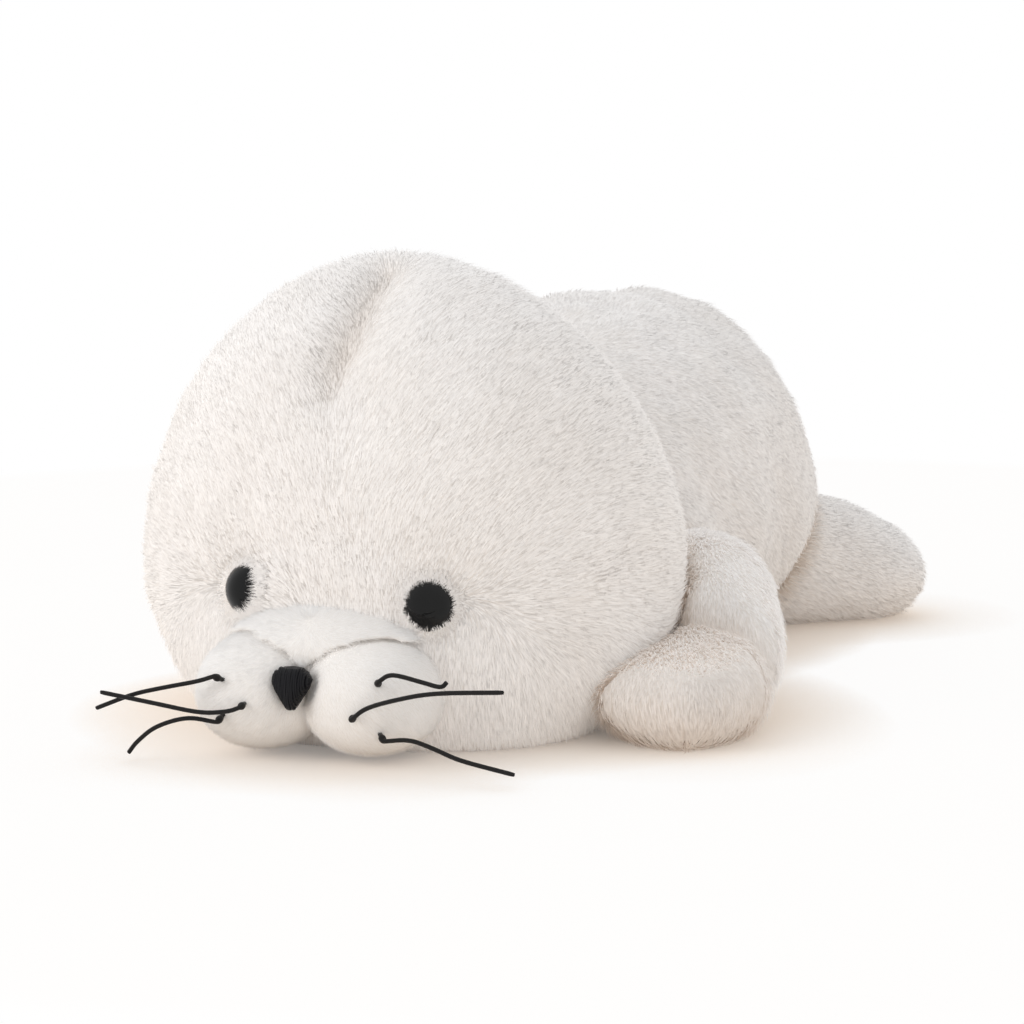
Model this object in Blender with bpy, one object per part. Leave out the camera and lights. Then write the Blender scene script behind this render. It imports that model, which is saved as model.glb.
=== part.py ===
"""A plush baby seal lying on its belly, as the sewn and stuffed sections that it is put together from.

Units are metres, +Z is up and the seal looks along -Y, so its left side is +X.
Each stuffed section is one solid, cut back where it is sewn against its neighbour.
"""

import math

import bmesh
import bpy
from mathutils import Matrix, Vector
from mathutils.bvhtree import BVHTree

# The gap that is left between two pieces that touch
SEAM_GAP = 0.0003

# The head, measured from the vertical line through its middle
HEAD_WIDTH = 0.167
HEAD_FRONT = 0.068
HEAD_BACK = 0.074
HEAD_HEIGHT = 0.139
HEAD_WIDEST_AT = 0.048
HEAD_FOOT_SHARE = 0.75
HEAD_SAGS_FORWARD = 0.016
HEAD_SAGS_LEFT = 0.004
CROWN_LEANS_RIGHT = 0.005
CROWN_ROUNDNESS = 1.90
CHEEK_ROUNDNESS = 2.12
CHEEK_TO_CROWN = (-0.4, 0.4)
HEAD_TURN = math.radians(4.5)
HEAD_CUTS = 12

# The sewn lines of the head: one over the brow and crown, one round it behind the cheeks
BROW_SEAM_DEPTH = 0.0045
BROW_SEAM_WIDTH = 0.0085
BROW_SEAM_FROM = 0.074
BROW_SEAM_FULL = 0.105
BROW_SEAM_ENDS_BEHIND = 0.004
BROW_SEAM_FADE = 0.030
BACK_SEAM_AT = 0.016
BACK_SEAM_DEPTH = 0.0016
BACK_SEAM_WIDTH = 0.005

# The body, measured from its widest place
BODY_BEHIND_HEAD = 0.152
BODY_WIDTH = 0.134
BODY_FRONT = 0.106
BODY_REAR = 0.060
BODY_HEIGHT = 0.1175
BODY_WIDEST_AT = 0.050
BODY_FOOT_SHARE = 0.88
BODY_ROUNDNESS = 2.15
BODY_CUTS = 10
BACK_DIP_DEPTH = 0.0015
BACK_DIP_WIDTH = 0.006

# Flippers are stuffed paddles. Each row is a place along the paddle, its shift to the side
# and up, and the width and thickness there
FRONT_FLIPPER = (
    (0.000, -0.006, 0.0280, 0.040, 0.042),
    (0.014, 0.003, 0.0290, 0.042, 0.047),
    (0.032, 0.015, 0.0295, 0.046, 0.050),
    (0.050, 0.026, 0.0280, 0.046, 0.050),
    (0.067, 0.030, 0.0220, 0.050, 0.042),
    (0.078, 0.033, 0.0160, 0.053, 0.032),
    (0.090, 0.034, 0.0145, 0.055, 0.031),
    (0.104, 0.034, 0.0140, 0.055, 0.030),
    (0.127, 0.034, 0.0140, 0.052, 0.029),
)
FRONT_ROOT_IN_BODY = 0.011
FRONT_ROOT_AHEAD_OF_BODY = 0.060
FRONT_ROOT_OUT = BODY_WIDTH / 2.0 - FRONT_ROOT_IN_BODY
FRONT_ROOT_BACK = BODY_BEHIND_HEAD - FRONT_ROOT_AHEAD_OF_BODY
LEFT_SWEEP = math.radians(0.0)
RIGHT_SWEEP = math.radians(118.0)
PALM_FOLD_AT = 0.079
PALM_FOLD_DEPTH = 0.0040
PALM_FOLD_WIDTH = 0.0050
HIND_FLIPPER = (
    (0.000, 0.000, 0.0240, 0.036, 0.044),
    (0.035, 0.000, 0.0240, 0.046, 0.049),
    (0.060, 0.000, 0.0210, 0.048, 0.043),
    (0.080, 0.000, 0.0170, 0.046, 0.035),
    (0.092, 0.000, 0.0150, 0.042, 0.031),
)
HIND_ROOT_OUT = 0.016
HIND_ROOT_IN_BODY = 0.042
HIND_ROOT_BACK = BODY_BEHIND_HEAD + BODY_REAR - HIND_ROOT_IN_BODY
HIND_SPREAD = math.radians(43.0)
FLIPPER_RINGS = 18
FLIPPER_SIDES = 16
FLIPPER_BLUNTNESS = 3.6
FLIPPER_SQUARENESS = 2.2

# The muzzle: two short-piled pads, the bridge above them and the stitched nose between them
PAD_OUT = 0.0165
PAD_AHEAD_OF_HEAD = 0.004
PAD_FORWARD = HEAD_FRONT + PAD_AHEAD_OF_HEAD
PAD_UP = 0.0185
PAD_WIDTH = 0.039
PAD_DEPTH = 0.043
PAD_HEIGHT = 0.033
PAD_BLUNTNESS = 2.3
PAD_CUTS = 5
BRIDGE_WIDTH = 0.062
BRIDGE_DEPTH = 0.052
BRIDGE_HEIGHT = 0.026
BRIDGE_IN_HEAD = 0.008
BRIDGE_FORWARD = HEAD_FRONT - BRIDGE_IN_HEAD
BRIDGE_UP = 0.031
NOSE_WIDTH = 0.0150
NOSE_HEIGHT = 0.0130
NOSE_DEPTH = 0.0090
NOSE_UP = 0.0225
NOSE_AHEAD_OF_PADS = 0.0165
NOSE_FORWARD = PAD_FORWARD + NOSE_AHEAD_OF_PADS
NOSE_POINT_SHARE = 0.30
NOSE_ROUNDNESS = 2.4
NOSE_TAPERS = (-1.0, 0.6)
NOSE_CUTS = 3

# Safety eyes: a dome on a shank that a washer holds from inside the head. The two aren't
# quite level: each has its own place out from the middle and up
EYES = {"left": (0.0300, 0.0430), "right": (0.0280, 0.0445)}
EYE_DIAMETER = 0.016
EYE_DOME_HEIGHT = 0.0058
EYE_SUNK = 0.0030
EYE_LOOKS_OUT = math.radians(21.0)
EYE_RIM = 0.0012
SHANK_DIAMETER = 0.0044
SHANK_LENGTH = 0.0130
SHANK_TIP = 0.0012
WASHER_DIAMETER = 0.0140
WASHER_THICKNESS = 0.0018
WASHER_BEHIND_EYE = 0.0042
ROUND_STEPS = 20

# Whiskers: waxed thread, knotted outside the pad
WHISKER_DIAMETER = 0.0015
KNOT_SHARE = 1.75
KNOT_LENGTH = 0.0026
KNOT_SWELLS = ((-0.50, 0.0), (-0.30, 0.65), (0.0, 1.0), (0.35, 0.65))
KNOT_TURNS_AT = 0.6
WHISKER_IN_PAD = 0.0035
WHISKER_SIDES = 1
WHISKER_STEPS = 4

# Each whisker: the place of its knot across and up the pad, then its route from the knot as
# steps outwards, forwards and up
WHISKERS = {
    "left_upper": (
        (0.0255, 0.0255),
        ((0.005, 0.002, 0.0030), (0.014, 0.003, 0.0018),
         (0.020, 0.004, 0.0010), (0.022, 0.004, 0.0025)),
    ),
    "left_middle": (
        (0.0195, 0.0165),
        ((0.005, 0.002, 0.0035), (0.015, 0.004, 0.0070),
         (0.027, 0.005, 0.0097), (0.047, 0.006, 0.0115)),
    ),
    "left_lower": (
        (0.0260, 0.0110),
        ((0.009, 0.002, 0.0005), (0.017, 0.003, -0.0013),
         (0.025, 0.004, -0.0036), (0.041, 0.005, -0.0062)),
    ),
    "right_upper": (
        (0.0215, 0.0243),
        ((0.006, 0.001, -0.0013), (0.016, 0.002, -0.0036),
         (0.025, 0.003, -0.0060), (0.036, 0.004, -0.0105)),
    ),
    "right_middle": (
        (0.0140, 0.0178),
        ((0.004, 0.002, -0.0015), (0.012, 0.003, -0.0020),
         (0.025, 0.004, -0.0002), (0.042, 0.004, 0.0019)),
    ),
    "right_lower": (
        (0.0210, 0.0138),
        ((0.009, 0.002, 0.0001), (0.018, 0.003, -0.0028),
         (0.024, 0.003, -0.0074), (0.027, 0.003, -0.0110)),
    ),
}


def side_sign(name):
    """Towards the seal's left is plus, towards its right is minus."""
    return -1.0 if name.startswith("right") else 1.0


def clear_scene():
    for old in list(bpy.data.objects):
        bpy.data.objects.remove(old)


def finish_material(name, colour, roughness):
    """One Principled finish with a plain colour, as the source's own record of it."""
    made = bpy.data.materials.new(name)
    made.use_nodes = True
    shader = made.node_tree.nodes["Principled BSDF"]
    shader.inputs["Base Color"].default_value = (*colour, 1.0)
    shader.inputs["Roughness"].default_value = roughness
    shader.inputs["Metallic"].default_value = 0.0
    return made


def smoothstep(start, end, at):
    share = min(1.0, max(0.0, (at - start) / (end - start)))
    return share * share * (3.0 - 2.0 * share)


def mix(first, second, share):
    return first + (second - first) * share


def groove(across, width):
    """The share of a sewn line's depth at a distance across it."""
    return math.exp(-((across / width) ** 2))


def ball(cuts):
    """A unit ball of square faces with no poles."""
    bm = bmesh.new()
    bmesh.ops.create_cube(bm, size=2.0)
    bmesh.ops.subdivide_edges(bm, edges=bm.edges[:], cuts=cuts, use_grid_fill=True)
    for vertex in bm.verts:
        spread = [math.tan(part * math.pi / 4.0) for part in vertex.co]
        vertex.co = Vector(spread).normalized()
    return bm


def blunt(point, power):
    """Moves a point of the unit ball out towards a box: a power of 2 leaves the ball as it is."""
    total = sum(abs(part) ** power for part in point)
    return point / total ** (1.0 / power)


def shaped(cuts, shape):
    bm = ball(cuts)
    for vertex in bm.verts:
        vertex.co = shape(vertex.co.copy())
    bm.normal_update()
    return bm


def grow(bm, distance):
    """Moves the whole surface out by one distance."""
    bm.normal_update()
    moves = [vertex.normal * distance for vertex in bm.verts]
    for vertex, move in zip(bm.verts, moves):
        vertex.co += move


def flatten_foot(bm, height):
    """Cuts the form off level at this height and closes it, so that it has a flat face to rest on."""
    cut = bmesh.ops.bisect_plane(
        bm,
        geom=bm.verts[:] + bm.edges[:] + bm.faces[:],
        plane_co=(0.0, 0.0, height),
        plane_no=(0.0, 0.0, -1.0),
        clear_outer=True,
    )
    rim = [part for part in cut["geom_cut"] if isinstance(part, bmesh.types.BMEdge)]
    bmesh.ops.edgeloop_fill(bm, edges=rim)
    bmesh.ops.recalc_face_normals(bm, faces=bm.faces[:])


def object_from(bm, name, material, parent):
    mesh = bpy.data.meshes.new(name)
    bm.to_mesh(mesh)
    bm.free()
    mesh.shade_smooth()
    mesh.materials.append(material)
    made = bpy.data.objects.new(name, mesh)
    bpy.context.scene.collection.objects.link(made)
    made.parent = parent
    return made


def make_cutter(made):
    made.hide_render = True
    made.display_type = "WIRE"
    return made


def cut_away(piece, cutter):
    """Takes the cutter's form out of the piece."""
    cut = piece.modifiers.new("clear_of_" + cutter.name, "BOOLEAN")
    cut.operation = "DIFFERENCE"
    cut.solver = "EXACT"
    cut.object = cutter


def frame_empty(name, place, turn, parent):
    made = bpy.data.objects.new(name, None)
    bpy.context.scene.collection.objects.link(made)
    made.parent = parent
    made.location = place
    made.rotation_euler = (0.0, 0.0, turn)
    return made


# The stuffed forms


def foot_reach(widest_at, share):
    """How far below its widest place a form would reach, if the floor didn't flatten it."""
    return widest_at / share


def head_form(point):
    roundness = mix(CHEEK_ROUNDNESS, CROWN_ROUNDNESS, smoothstep(*CHEEK_TO_CROWN, point.z))
    x, y, z = blunt(point, roundness)
    reach_y = HEAD_FRONT if y < 0.0 else HEAD_BACK
    reach_z = foot_reach(HEAD_WIDEST_AT, HEAD_FOOT_SHARE) if z < 0.0 else HEAD_HEIGHT - HEAD_WIDEST_AT
    place = Vector((x * HEAD_WIDTH / 2.0, y * reach_y, HEAD_WIDEST_AT + z * reach_z))
    inward = Vector((-place.x, -place.y, HEAD_WIDEST_AT - place.z)).normalized()
    sag = max(0.0, 1.0 - place.z / HEAD_WIDEST_AT) ** 2
    lean = max(0.0, (place.z - HEAD_WIDEST_AT) / (HEAD_HEIGHT - HEAD_WIDEST_AT)) ** 2
    brow = groove(place.x, BROW_SEAM_WIDTH)
    brow *= smoothstep(BROW_SEAM_FROM, BROW_SEAM_FULL, place.z)
    brow *= smoothstep(-BROW_SEAM_ENDS_BEHIND, BROW_SEAM_FADE, -place.y)
    behind = groove(place.y - BACK_SEAM_AT, BACK_SEAM_WIDTH)
    place += inward * (brow * BROW_SEAM_DEPTH + behind * BACK_SEAM_DEPTH)
    leftwards = HEAD_SAGS_LEFT * sag - CROWN_LEANS_RIGHT * lean
    return place + Vector((leftwards, -HEAD_SAGS_FORWARD * sag, 0.0))


def body_form(point):
    x, y, z = blunt(point, BODY_ROUNDNESS)
    reach_y = BODY_FRONT if y < 0.0 else BODY_REAR
    reach_z = foot_reach(BODY_WIDEST_AT, BODY_FOOT_SHARE) if z < 0.0 else BODY_HEIGHT - BODY_WIDEST_AT
    place = Vector((x * BODY_WIDTH / 2.0, y * reach_y, BODY_WIDEST_AT + z * reach_z))
    inward = Vector((-place.x, 0.0, BODY_WIDEST_AT - place.z)).normalized()
    spine = groove(place.x, BACK_DIP_WIDTH) * smoothstep(BODY_WIDEST_AT, BODY_HEIGHT, place.z)
    return place + inward * spine * BACK_DIP_DEPTH


def between(stations, along):
    """The values of a row of stations at a place along it."""
    for near, far in zip(stations, stations[1:]):
        if along <= far[0]:
            share = smoothstep(near[0], far[0], along)
            return [mix(first, second, share) for first, second in zip(near, far)]
    return stations[-1]


def signed_power(value, power):
    return math.copysign(abs(value) ** power, value)


def paddle(stations, side):
    """A closed form through the stations, with blunt ends, along +X."""
    bm = bmesh.new()
    length = stations[-1][0]
    rings = []
    for ring in range(1, FLIPPER_RINGS):
        turn = math.pi * ring / FLIPPER_RINGS
        along = (1.0 - signed_power(math.cos(turn), 2.0 / FLIPPER_BLUNTNESS)) * length / 2.0
        swell = math.sin(turn) ** (2.0 / FLIPPER_BLUNTNESS)
        _, aside, up, width, thickness = between(stations, along)
        points = []
        for step in range(FLIPPER_SIDES):
            around = 2.0 * math.pi * step / FLIPPER_SIDES
            across = signed_power(math.cos(around), 2.0 / FLIPPER_SQUARENESS) * swell
            above = signed_power(math.sin(around), 2.0 / FLIPPER_SQUARENESS) * swell
            place = Vector((along, side * (aside + across * width / 2.0), up + above * thickness / 2.0))
            points.append(bm.verts.new(place))
        rings.append(points)
    for first, second in zip(rings, rings[1:]):
        for step in range(FLIPPER_SIDES):
            beside = (step + 1) % FLIPPER_SIDES
            bm.faces.new((first[step], first[beside], second[beside], second[step]))
    for points, station in ((rings[0], stations[0]), (rings[-1], stations[-1])):
        tip = bm.verts.new((station[0], side * station[1], station[2]))
        for step in range(FLIPPER_SIDES):
            bm.faces.new((points[step], points[(step + 1) % FLIPPER_SIDES], tip))
    bmesh.ops.recalc_face_normals(bm, faces=bm.faces[:])
    return bm


def fold_palm(bm):
    """Sinks the sewn fold across the top of the flipper, where the palm starts."""
    for vertex in bm.verts:
        middle = between(FRONT_FLIPPER, vertex.co.x)[2]
        if vertex.co.z > middle:
            vertex.co.z -= PALM_FOLD_DEPTH * groove(vertex.co.x - PALM_FOLD_AT, PALM_FOLD_WIDTH)


def pad_form(side):
    def form(point):
        x, y, z = blunt(point, PAD_BLUNTNESS)
        return Vector((
            side * PAD_OUT + x * PAD_WIDTH / 2.0,
            -PAD_FORWARD + y * PAD_DEPTH / 2.0,
            PAD_UP + z * PAD_HEIGHT / 2.0,
        ))

    return form


def bridge_form(point):
    x, y, z = point
    return Vector((
        x * BRIDGE_WIDTH / 2.0,
        -BRIDGE_FORWARD + y * BRIDGE_DEPTH / 2.0,
        BRIDGE_UP + z * BRIDGE_HEIGHT / 2.0,
    ))


def nose_form(point):
    """A plump heart: broad above, drawn to a point below."""
    x, y, z = blunt(point, NOSE_ROUNDNESS)
    width = mix(NOSE_POINT_SHARE, 1.0, smoothstep(*NOSE_TAPERS, z))
    return Vector((
        x * width * NOSE_WIDTH / 2.0,
        -NOSE_FORWARD + y * NOSE_DEPTH / 2.0,
        NOSE_UP + z * NOSE_HEIGHT / 2.0,
    ))


def keep_side(bm, side, gap):
    """Keeps the part of a form on one side of the seal's middle plane."""
    cut = bmesh.ops.bisect_plane(
        bm,
        geom=bm.verts[:] + bm.edges[:] + bm.faces[:],
        plane_co=(side * gap / 2.0, 0.0, 0.0),
        plane_no=(-side, 0.0, 0.0),
        clear_outer=True,
    )
    rim = [part for part in cut["geom_cut"] if isinstance(part, bmesh.types.BMEdge)]
    bmesh.ops.edgeloop_fill(bm, edges=rim)
    bmesh.ops.recalc_face_normals(bm, faces=bm.faces[:])


def turned(profile):
    """Turns a profile of (radius, height) points about +Z into a closed solid."""
    bm = bmesh.new()
    ends = [bm.verts.new((radius, 0.0, height)) for radius, height in profile]
    for first, second in zip(ends, ends[1:]):
        bm.edges.new((first, second))
    if profile[0][0] > 0.0:
        bm.edges.new((ends[-1], ends[0]))
    bmesh.ops.spin(
        bm,
        geom=bm.verts[:] + bm.edges[:],
        cent=(0.0, 0.0, 0.0),
        axis=(0.0, 0.0, 1.0),
        angle=2.0 * math.pi,
        steps=ROUND_STEPS,
        use_merge=True,
    )
    bmesh.ops.remove_doubles(bm, verts=bm.verts[:], dist=1e-6)
    bmesh.ops.recalc_face_normals(bm, faces=bm.faces[:])
    return bm


def eye_profile():
    """Dome, rim and shank, from the dome's top down to the shank's tip. The rim's back is at zero."""
    radius = EYE_DIAMETER / 2.0
    dome = []
    for step in range(6):
        turn = math.pi / 2.0 * step / 5.0
        dome.append((radius * math.sin(turn), EYE_RIM + (EYE_DOME_HEIGHT - EYE_RIM) * math.cos(turn)))
    shank = SHANK_DIAMETER / 2.0
    return dome + [
        (radius, 0.0),
        (shank, 0.0),
        (shank, SHANK_TIP - SHANK_LENGTH),
        (shank - SHANK_TIP, -SHANK_LENGTH),
        (0.0, -SHANK_LENGTH),
    ]


def washer_profile():
    inner = SHANK_DIAMETER / 2.0 + SEAM_GAP
    outer = WASHER_DIAMETER / 2.0
    top = -WASHER_BEHIND_EYE
    bottom = top - WASHER_THICKNESS
    return [(inner, top), (outer, top), (outer, bottom), (inner, bottom)]


def eye_seat_profile():
    """What the eye and its washer need inside the head, open towards the front."""
    eye = EYE_DIAMETER / 2.0 + SEAM_GAP
    shank = SHANK_DIAMETER / 2.0 + SEAM_GAP
    washer = WASHER_DIAMETER / 2.0 + SEAM_GAP
    top = -WASHER_BEHIND_EYE + SEAM_GAP
    bottom = -WASHER_BEHIND_EYE - WASHER_THICKNESS - SEAM_GAP
    return [
        (0.0, EYE_DIAMETER),
        (eye, EYE_DIAMETER),
        (eye, -SEAM_GAP),
        (shank, -SEAM_GAP),
        (shank, top),
        (washer, top),
        (washer, bottom),
        (shank, bottom),
        (shank, -SHANK_LENGTH - SEAM_GAP),
        (0.0, -SHANK_LENGTH - SEAM_GAP),
    ]


def place_on_front(surface, x, z):
    """The frontmost point of a surface at this place across and up."""
    hit = surface.ray_cast(Vector((x, -1.0, z)), Vector((0.0, 1.0, 0.0)))
    return hit[0], hit[1]


def smooth_route(points, steps):
    """A curve through the points, as a list of points with a few steps between each two."""
    padded = [points[0] * 2.0 - points[1], *points, points[-1] * 2.0 - points[-2]]
    route = []
    for first in range(len(points) - 1):
        a, b, c, d = padded[first:first + 4]
        for step in range(steps):
            t = step / steps
            route.append(
                0.5 * ((2.0 * b) + (c - a) * t + (2.0 * a - 5.0 * b + 4.0 * c - d) * t * t
                       + (3.0 * b - a - 3.0 * c + d) * t ** 3)
            )
    route.append(points[-1].copy())
    return route


def whisker_object(name, stub, knot, route, material, parent):
    """A tube along the thread, swollen to a knot just outside the pad."""
    outward = (knot - stub).normalized()
    line = [(stub, 1.0)]
    for along, swell in KNOT_SWELLS:
        line.append((knot + outward * KNOT_LENGTH * along, mix(1.0, KNOT_SHARE, swell)))
    line += [(point, 1.0) for point in route]
    curve = bpy.data.curves.new(name, "CURVE")
    curve.dimensions = "3D"
    curve.bevel_depth = WHISKER_DIAMETER / 2.0
    curve.bevel_resolution = WHISKER_SIDES
    curve.use_fill_caps = True
    spline = curve.splines.new("POLY")
    spline.points.add(len(line) - 1)
    for point, (place, share) in zip(spline.points, line):
        point.co = (*place, 1.0)
        point.radius = share
    curve.materials.append(material)
    made = bpy.data.objects.new(name, curve)
    bpy.context.scene.collection.objects.link(made)
    made.parent = parent
    return made


def build():
    clear_scene()
    plush = finish_material("plush", (0.86, 0.83, 0.80), 0.95)
    velvet = finish_material("short_plush", (0.88, 0.86, 0.84), 0.90)
    thread = finish_material("nose_thread", (0.010, 0.010, 0.012), 0.55)
    gloss = finish_material("eye_plastic", (0.008, 0.008, 0.009), 0.12)
    washer_plastic = finish_material("washer_plastic", (0.75, 0.75, 0.73), 0.45)
    wax = finish_material("waxed_thread", (0.016, 0.014, 0.013), 0.50)

    seal = frame_empty("seal_frame", (0.0, 0.0, 0.0), 0.0, None)
    head_frame = frame_empty("head_frame", (0.0, 0.0, 0.0), HEAD_TURN, seal)

    # The head and the form that its neighbours are cut back by
    head_mesh = shaped(HEAD_CUTS, head_form)
    flatten_foot(head_mesh, 0.0)
    head_surface = BVHTree.FromBMesh(head_mesh)
    head = object_from(head_mesh, "head", plush, head_frame)
    round_head = shaped(HEAD_CUTS, head_form)
    grow(round_head, SEAM_GAP)
    head_room = make_cutter(object_from(round_head, "head_room", plush, head_frame))

    # The body
    body_mesh = shaped(BODY_CUTS, body_form)
    flatten_foot(body_mesh, 0.0)
    body = object_from(body_mesh, "body", plush, seal)
    body.location.y = BODY_BEHIND_HEAD
    cut_away(body, head_room)
    round_body = shaped(BODY_CUTS, body_form)
    grow(round_body, SEAM_GAP)
    body_room = make_cutter(object_from(round_body, "body_room", plush, seal))
    body_room.location.y = BODY_BEHIND_HEAD

    # The four flippers
    for name, sweep in (("left", LEFT_SWEEP), ("right", RIGHT_SWEEP)):
        side = side_sign(name)
        mesh = paddle(FRONT_FLIPPER, side)
        fold_palm(mesh)
        flatten_foot(mesh, 0.0)
        flipper = object_from(mesh, "front_flipper_" + name, plush, seal)
        flipper.location = (side * FRONT_ROOT_OUT, FRONT_ROOT_BACK, 0.0)
        flipper.rotation_euler.z = side * sweep - math.pi / 2.0
        cut_away(flipper, body_room)
        cut_away(flipper, head_room)
        mesh = paddle(HIND_FLIPPER, side)
        flatten_foot(mesh, 0.0)
        tail = object_from(mesh, "hind_flipper_" + name, plush, seal)
        tail.location = (side * HIND_ROOT_OUT, HIND_ROOT_BACK, 0.0)
        tail.rotation_euler.z = math.pi / 2.0 - side * HIND_SPREAD
        cut_away(tail, body_room)

    # The nose, then the pads and the bridge round it
    nose_mesh = shaped(NOSE_CUTS, nose_form)
    object_from(nose_mesh, "nose", thread, head_frame)
    nose_round = shaped(NOSE_CUTS, nose_form)
    grow(nose_round, SEAM_GAP)
    nose_room = make_cutter(object_from(nose_round, "nose_room", thread, head_frame))
    pad_surfaces = {}
    pad_rooms = []
    pads = {}
    for name in ("left", "right"):
        side = side_sign(name)
        mesh = shaped(PAD_CUTS, pad_form(side))
        keep_side(mesh, side, SEAM_GAP)
        flatten_foot(mesh, SEAM_GAP)
        pad_surfaces[name] = BVHTree.FromBMesh(mesh)
        pad = object_from(mesh, "muzzle_pad_" + name, velvet, head_frame)
        cut_away(pad, head_room)
        cut_away(pad, nose_room)
        pads[name] = pad
        room = shaped(PAD_CUTS, pad_form(side))
        grow(room, SEAM_GAP)
        pad_rooms.append(make_cutter(object_from(room, "pad_room_" + name, velvet, head_frame)))
    bridge = object_from(shaped(PAD_CUTS, bridge_form), "muzzle_bridge", velvet, head_frame)
    cut_away(bridge, head_room)
    cut_away(bridge, nose_room)
    for room in pad_rooms:
        cut_away(bridge, room)

    # The eyes and their washers, each pair on its own axis
    for name, (out, up) in EYES.items():
        side = side_sign(name)
        spot, _ = place_on_front(head_surface, side * out, up)
        looks = Vector((side * math.sin(EYE_LOOKS_OUT), -math.cos(EYE_LOOKS_OUT), 0.0))
        turn = looks.to_track_quat("Z", "Y").to_matrix().to_4x4()
        axis = Matrix.Translation(spot - looks * EYE_SUNK) @ turn
        for label, profile, material in (
            ("eye_", eye_profile(), gloss),
            ("eye_washer_", washer_profile(), washer_plastic),
        ):
            made = object_from(turned(profile), label + name, material, head_frame)
            made.matrix_local = axis
        seat = object_from(turned(eye_seat_profile()), "eye_seat_" + name, gloss, head_frame)
        make_cutter(seat)
        seat.matrix_local = axis
        cut_away(head, seat)

    # The whiskers, each through its own hole in the pad
    for name, ((out, up), steps) in WHISKERS.items():
        side = side_sign(name)
        pad = "right" if side < 0.0 else "left"
        spot, normal = place_on_front(pad_surfaces[pad], side * out, up)
        knot = spot + normal * (KNOT_SHARE * WHISKER_DIAMETER / 2.0 + SEAM_GAP)
        stub = spot - normal * WHISKER_IN_PAD
        places = [knot + normal * KNOT_LENGTH * KNOT_TURNS_AT]
        places += [knot + Vector((side * across, -forward, rise)) for across, forward, rise in steps]
        route = smooth_route(places, WHISKER_STEPS)
        whisker_object("whisker_" + name, stub, knot, route, wax, head_frame)
        radius = WHISKER_DIAMETER / 2.0 + SEAM_GAP
        end = -WHISKER_IN_PAD - SEAM_GAP
        hole = [(0.0, end), (radius, end), (radius, WHISKER_IN_PAD), (0.0, WHISKER_IN_PAD)]
        drill = make_cutter(object_from(turned(hole), name + "_hole", wax, head_frame))
        turn = normal.to_track_quat("Z", "Y").to_matrix().to_4x4()
        drill.matrix_local = Matrix.Translation(spot) @ turn
        cut_away(pads[pad], drill)

    centre_on_floor(seal)


def centre_on_floor(seal):
    """Puts the origin on the floor under the middle of the whole seal."""
    bpy.context.view_layer.update()
    graph = bpy.context.evaluated_depsgraph_get()
    low = Vector((1e9, 1e9, 1e9))
    high = -low
    for made in bpy.context.scene.objects:
        if made.type == "EMPTY" or made.hide_render:
            continue
        evaluated = made.evaluated_get(graph)
        mesh = evaluated.to_mesh()
        for vertex in mesh.vertices:
            place = made.matrix_world @ vertex.co
            low = Vector(map(min, low, place))
            high = Vector(map(max, high, place))
        evaluated.to_mesh_clear()
    middle = (low + high) / 2.0
    seal.location = (-middle.x, -middle.y, -low.z)
    bpy.context.view_layer.update()
    size = [round(part, 4) for part in high - low]
    print("size", size, "moved", [round(part, 5) for part in seal.location])


build()
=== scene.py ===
# %% [markdown]
# # A plush baby seal
#
# The real toy is sewn from long-piled cloth, stuffed, and laid on its belly. What the eye reads
# is the pile: thousands of soft fibres that lie in combed directions, part at the seams and
# fray the outline. So each stuffed section gets a taut skin first, and a coat of real fibres
# is grown on it. The small hard things, eyes, nose and whiskers, are modelled one by one.

# %% Load the frame
import math

import bmesh
import bpy
from mathutils import Matrix, Vector, noise
from mathutils.bvhtree import BVHTree
from mathutils.geometry import intersect_point_line


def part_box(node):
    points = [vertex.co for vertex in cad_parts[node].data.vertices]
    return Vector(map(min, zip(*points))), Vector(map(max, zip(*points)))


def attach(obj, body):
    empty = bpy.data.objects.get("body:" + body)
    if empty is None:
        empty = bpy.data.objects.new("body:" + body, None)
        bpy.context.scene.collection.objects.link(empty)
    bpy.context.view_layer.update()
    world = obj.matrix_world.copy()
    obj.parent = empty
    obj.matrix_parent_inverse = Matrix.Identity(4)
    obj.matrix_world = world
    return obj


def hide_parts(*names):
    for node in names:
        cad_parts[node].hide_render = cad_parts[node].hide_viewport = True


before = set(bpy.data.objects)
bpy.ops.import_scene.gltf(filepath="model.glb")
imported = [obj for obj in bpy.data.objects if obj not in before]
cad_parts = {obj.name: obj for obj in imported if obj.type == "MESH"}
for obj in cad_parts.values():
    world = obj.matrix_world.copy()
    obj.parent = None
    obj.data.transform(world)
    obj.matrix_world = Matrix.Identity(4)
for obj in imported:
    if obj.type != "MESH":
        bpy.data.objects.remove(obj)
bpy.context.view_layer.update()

MM = 0.001

# %% [markdown]
# ## Where the head is
#
# The camera, the eyes and the combing are all measured from the head. Its middle on the floor
# comes from the frame, and the head is turned a little towards the seal's right shoulder.

# %% The head's own directions
HEAD_HANGS_FORWARD = 2.8 * MM
HEAD_TURN = math.radians(4.5)
HEAD_CENTRE_UP = 62 * MM

head_low, head_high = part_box("head")
head_spot = (head_low + head_high) / 2.0
head_spot.y -= HEAD_HANGS_FORWARD
head_spot.z = 0.0
head_centre = head_spot + Vector((0.0, 0.0, HEAD_CENTRE_UP))
head_turn = Matrix.Rotation(HEAD_TURN, 3, "Z")
print("head centre", [round(part, 4) for part in head_centre])

# %% [markdown]
# ## Camera
#
# The photograph was taken from a metre away with a long lens, a little above the toy and to
# its left. Such a lens keeps the round head from bulging towards the viewer.

# %% Camera
CAMERA_AZIMUTH = math.radians(25.0)
CAMERA_PITCH = math.radians(8.0)
CAMERA_DISTANCE = 1.089
CAMERA_HEIGHT = 0.2135
CAMERA_ASIDE = 29.15 * MM
CAMERA_LENS = 128.9

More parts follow.
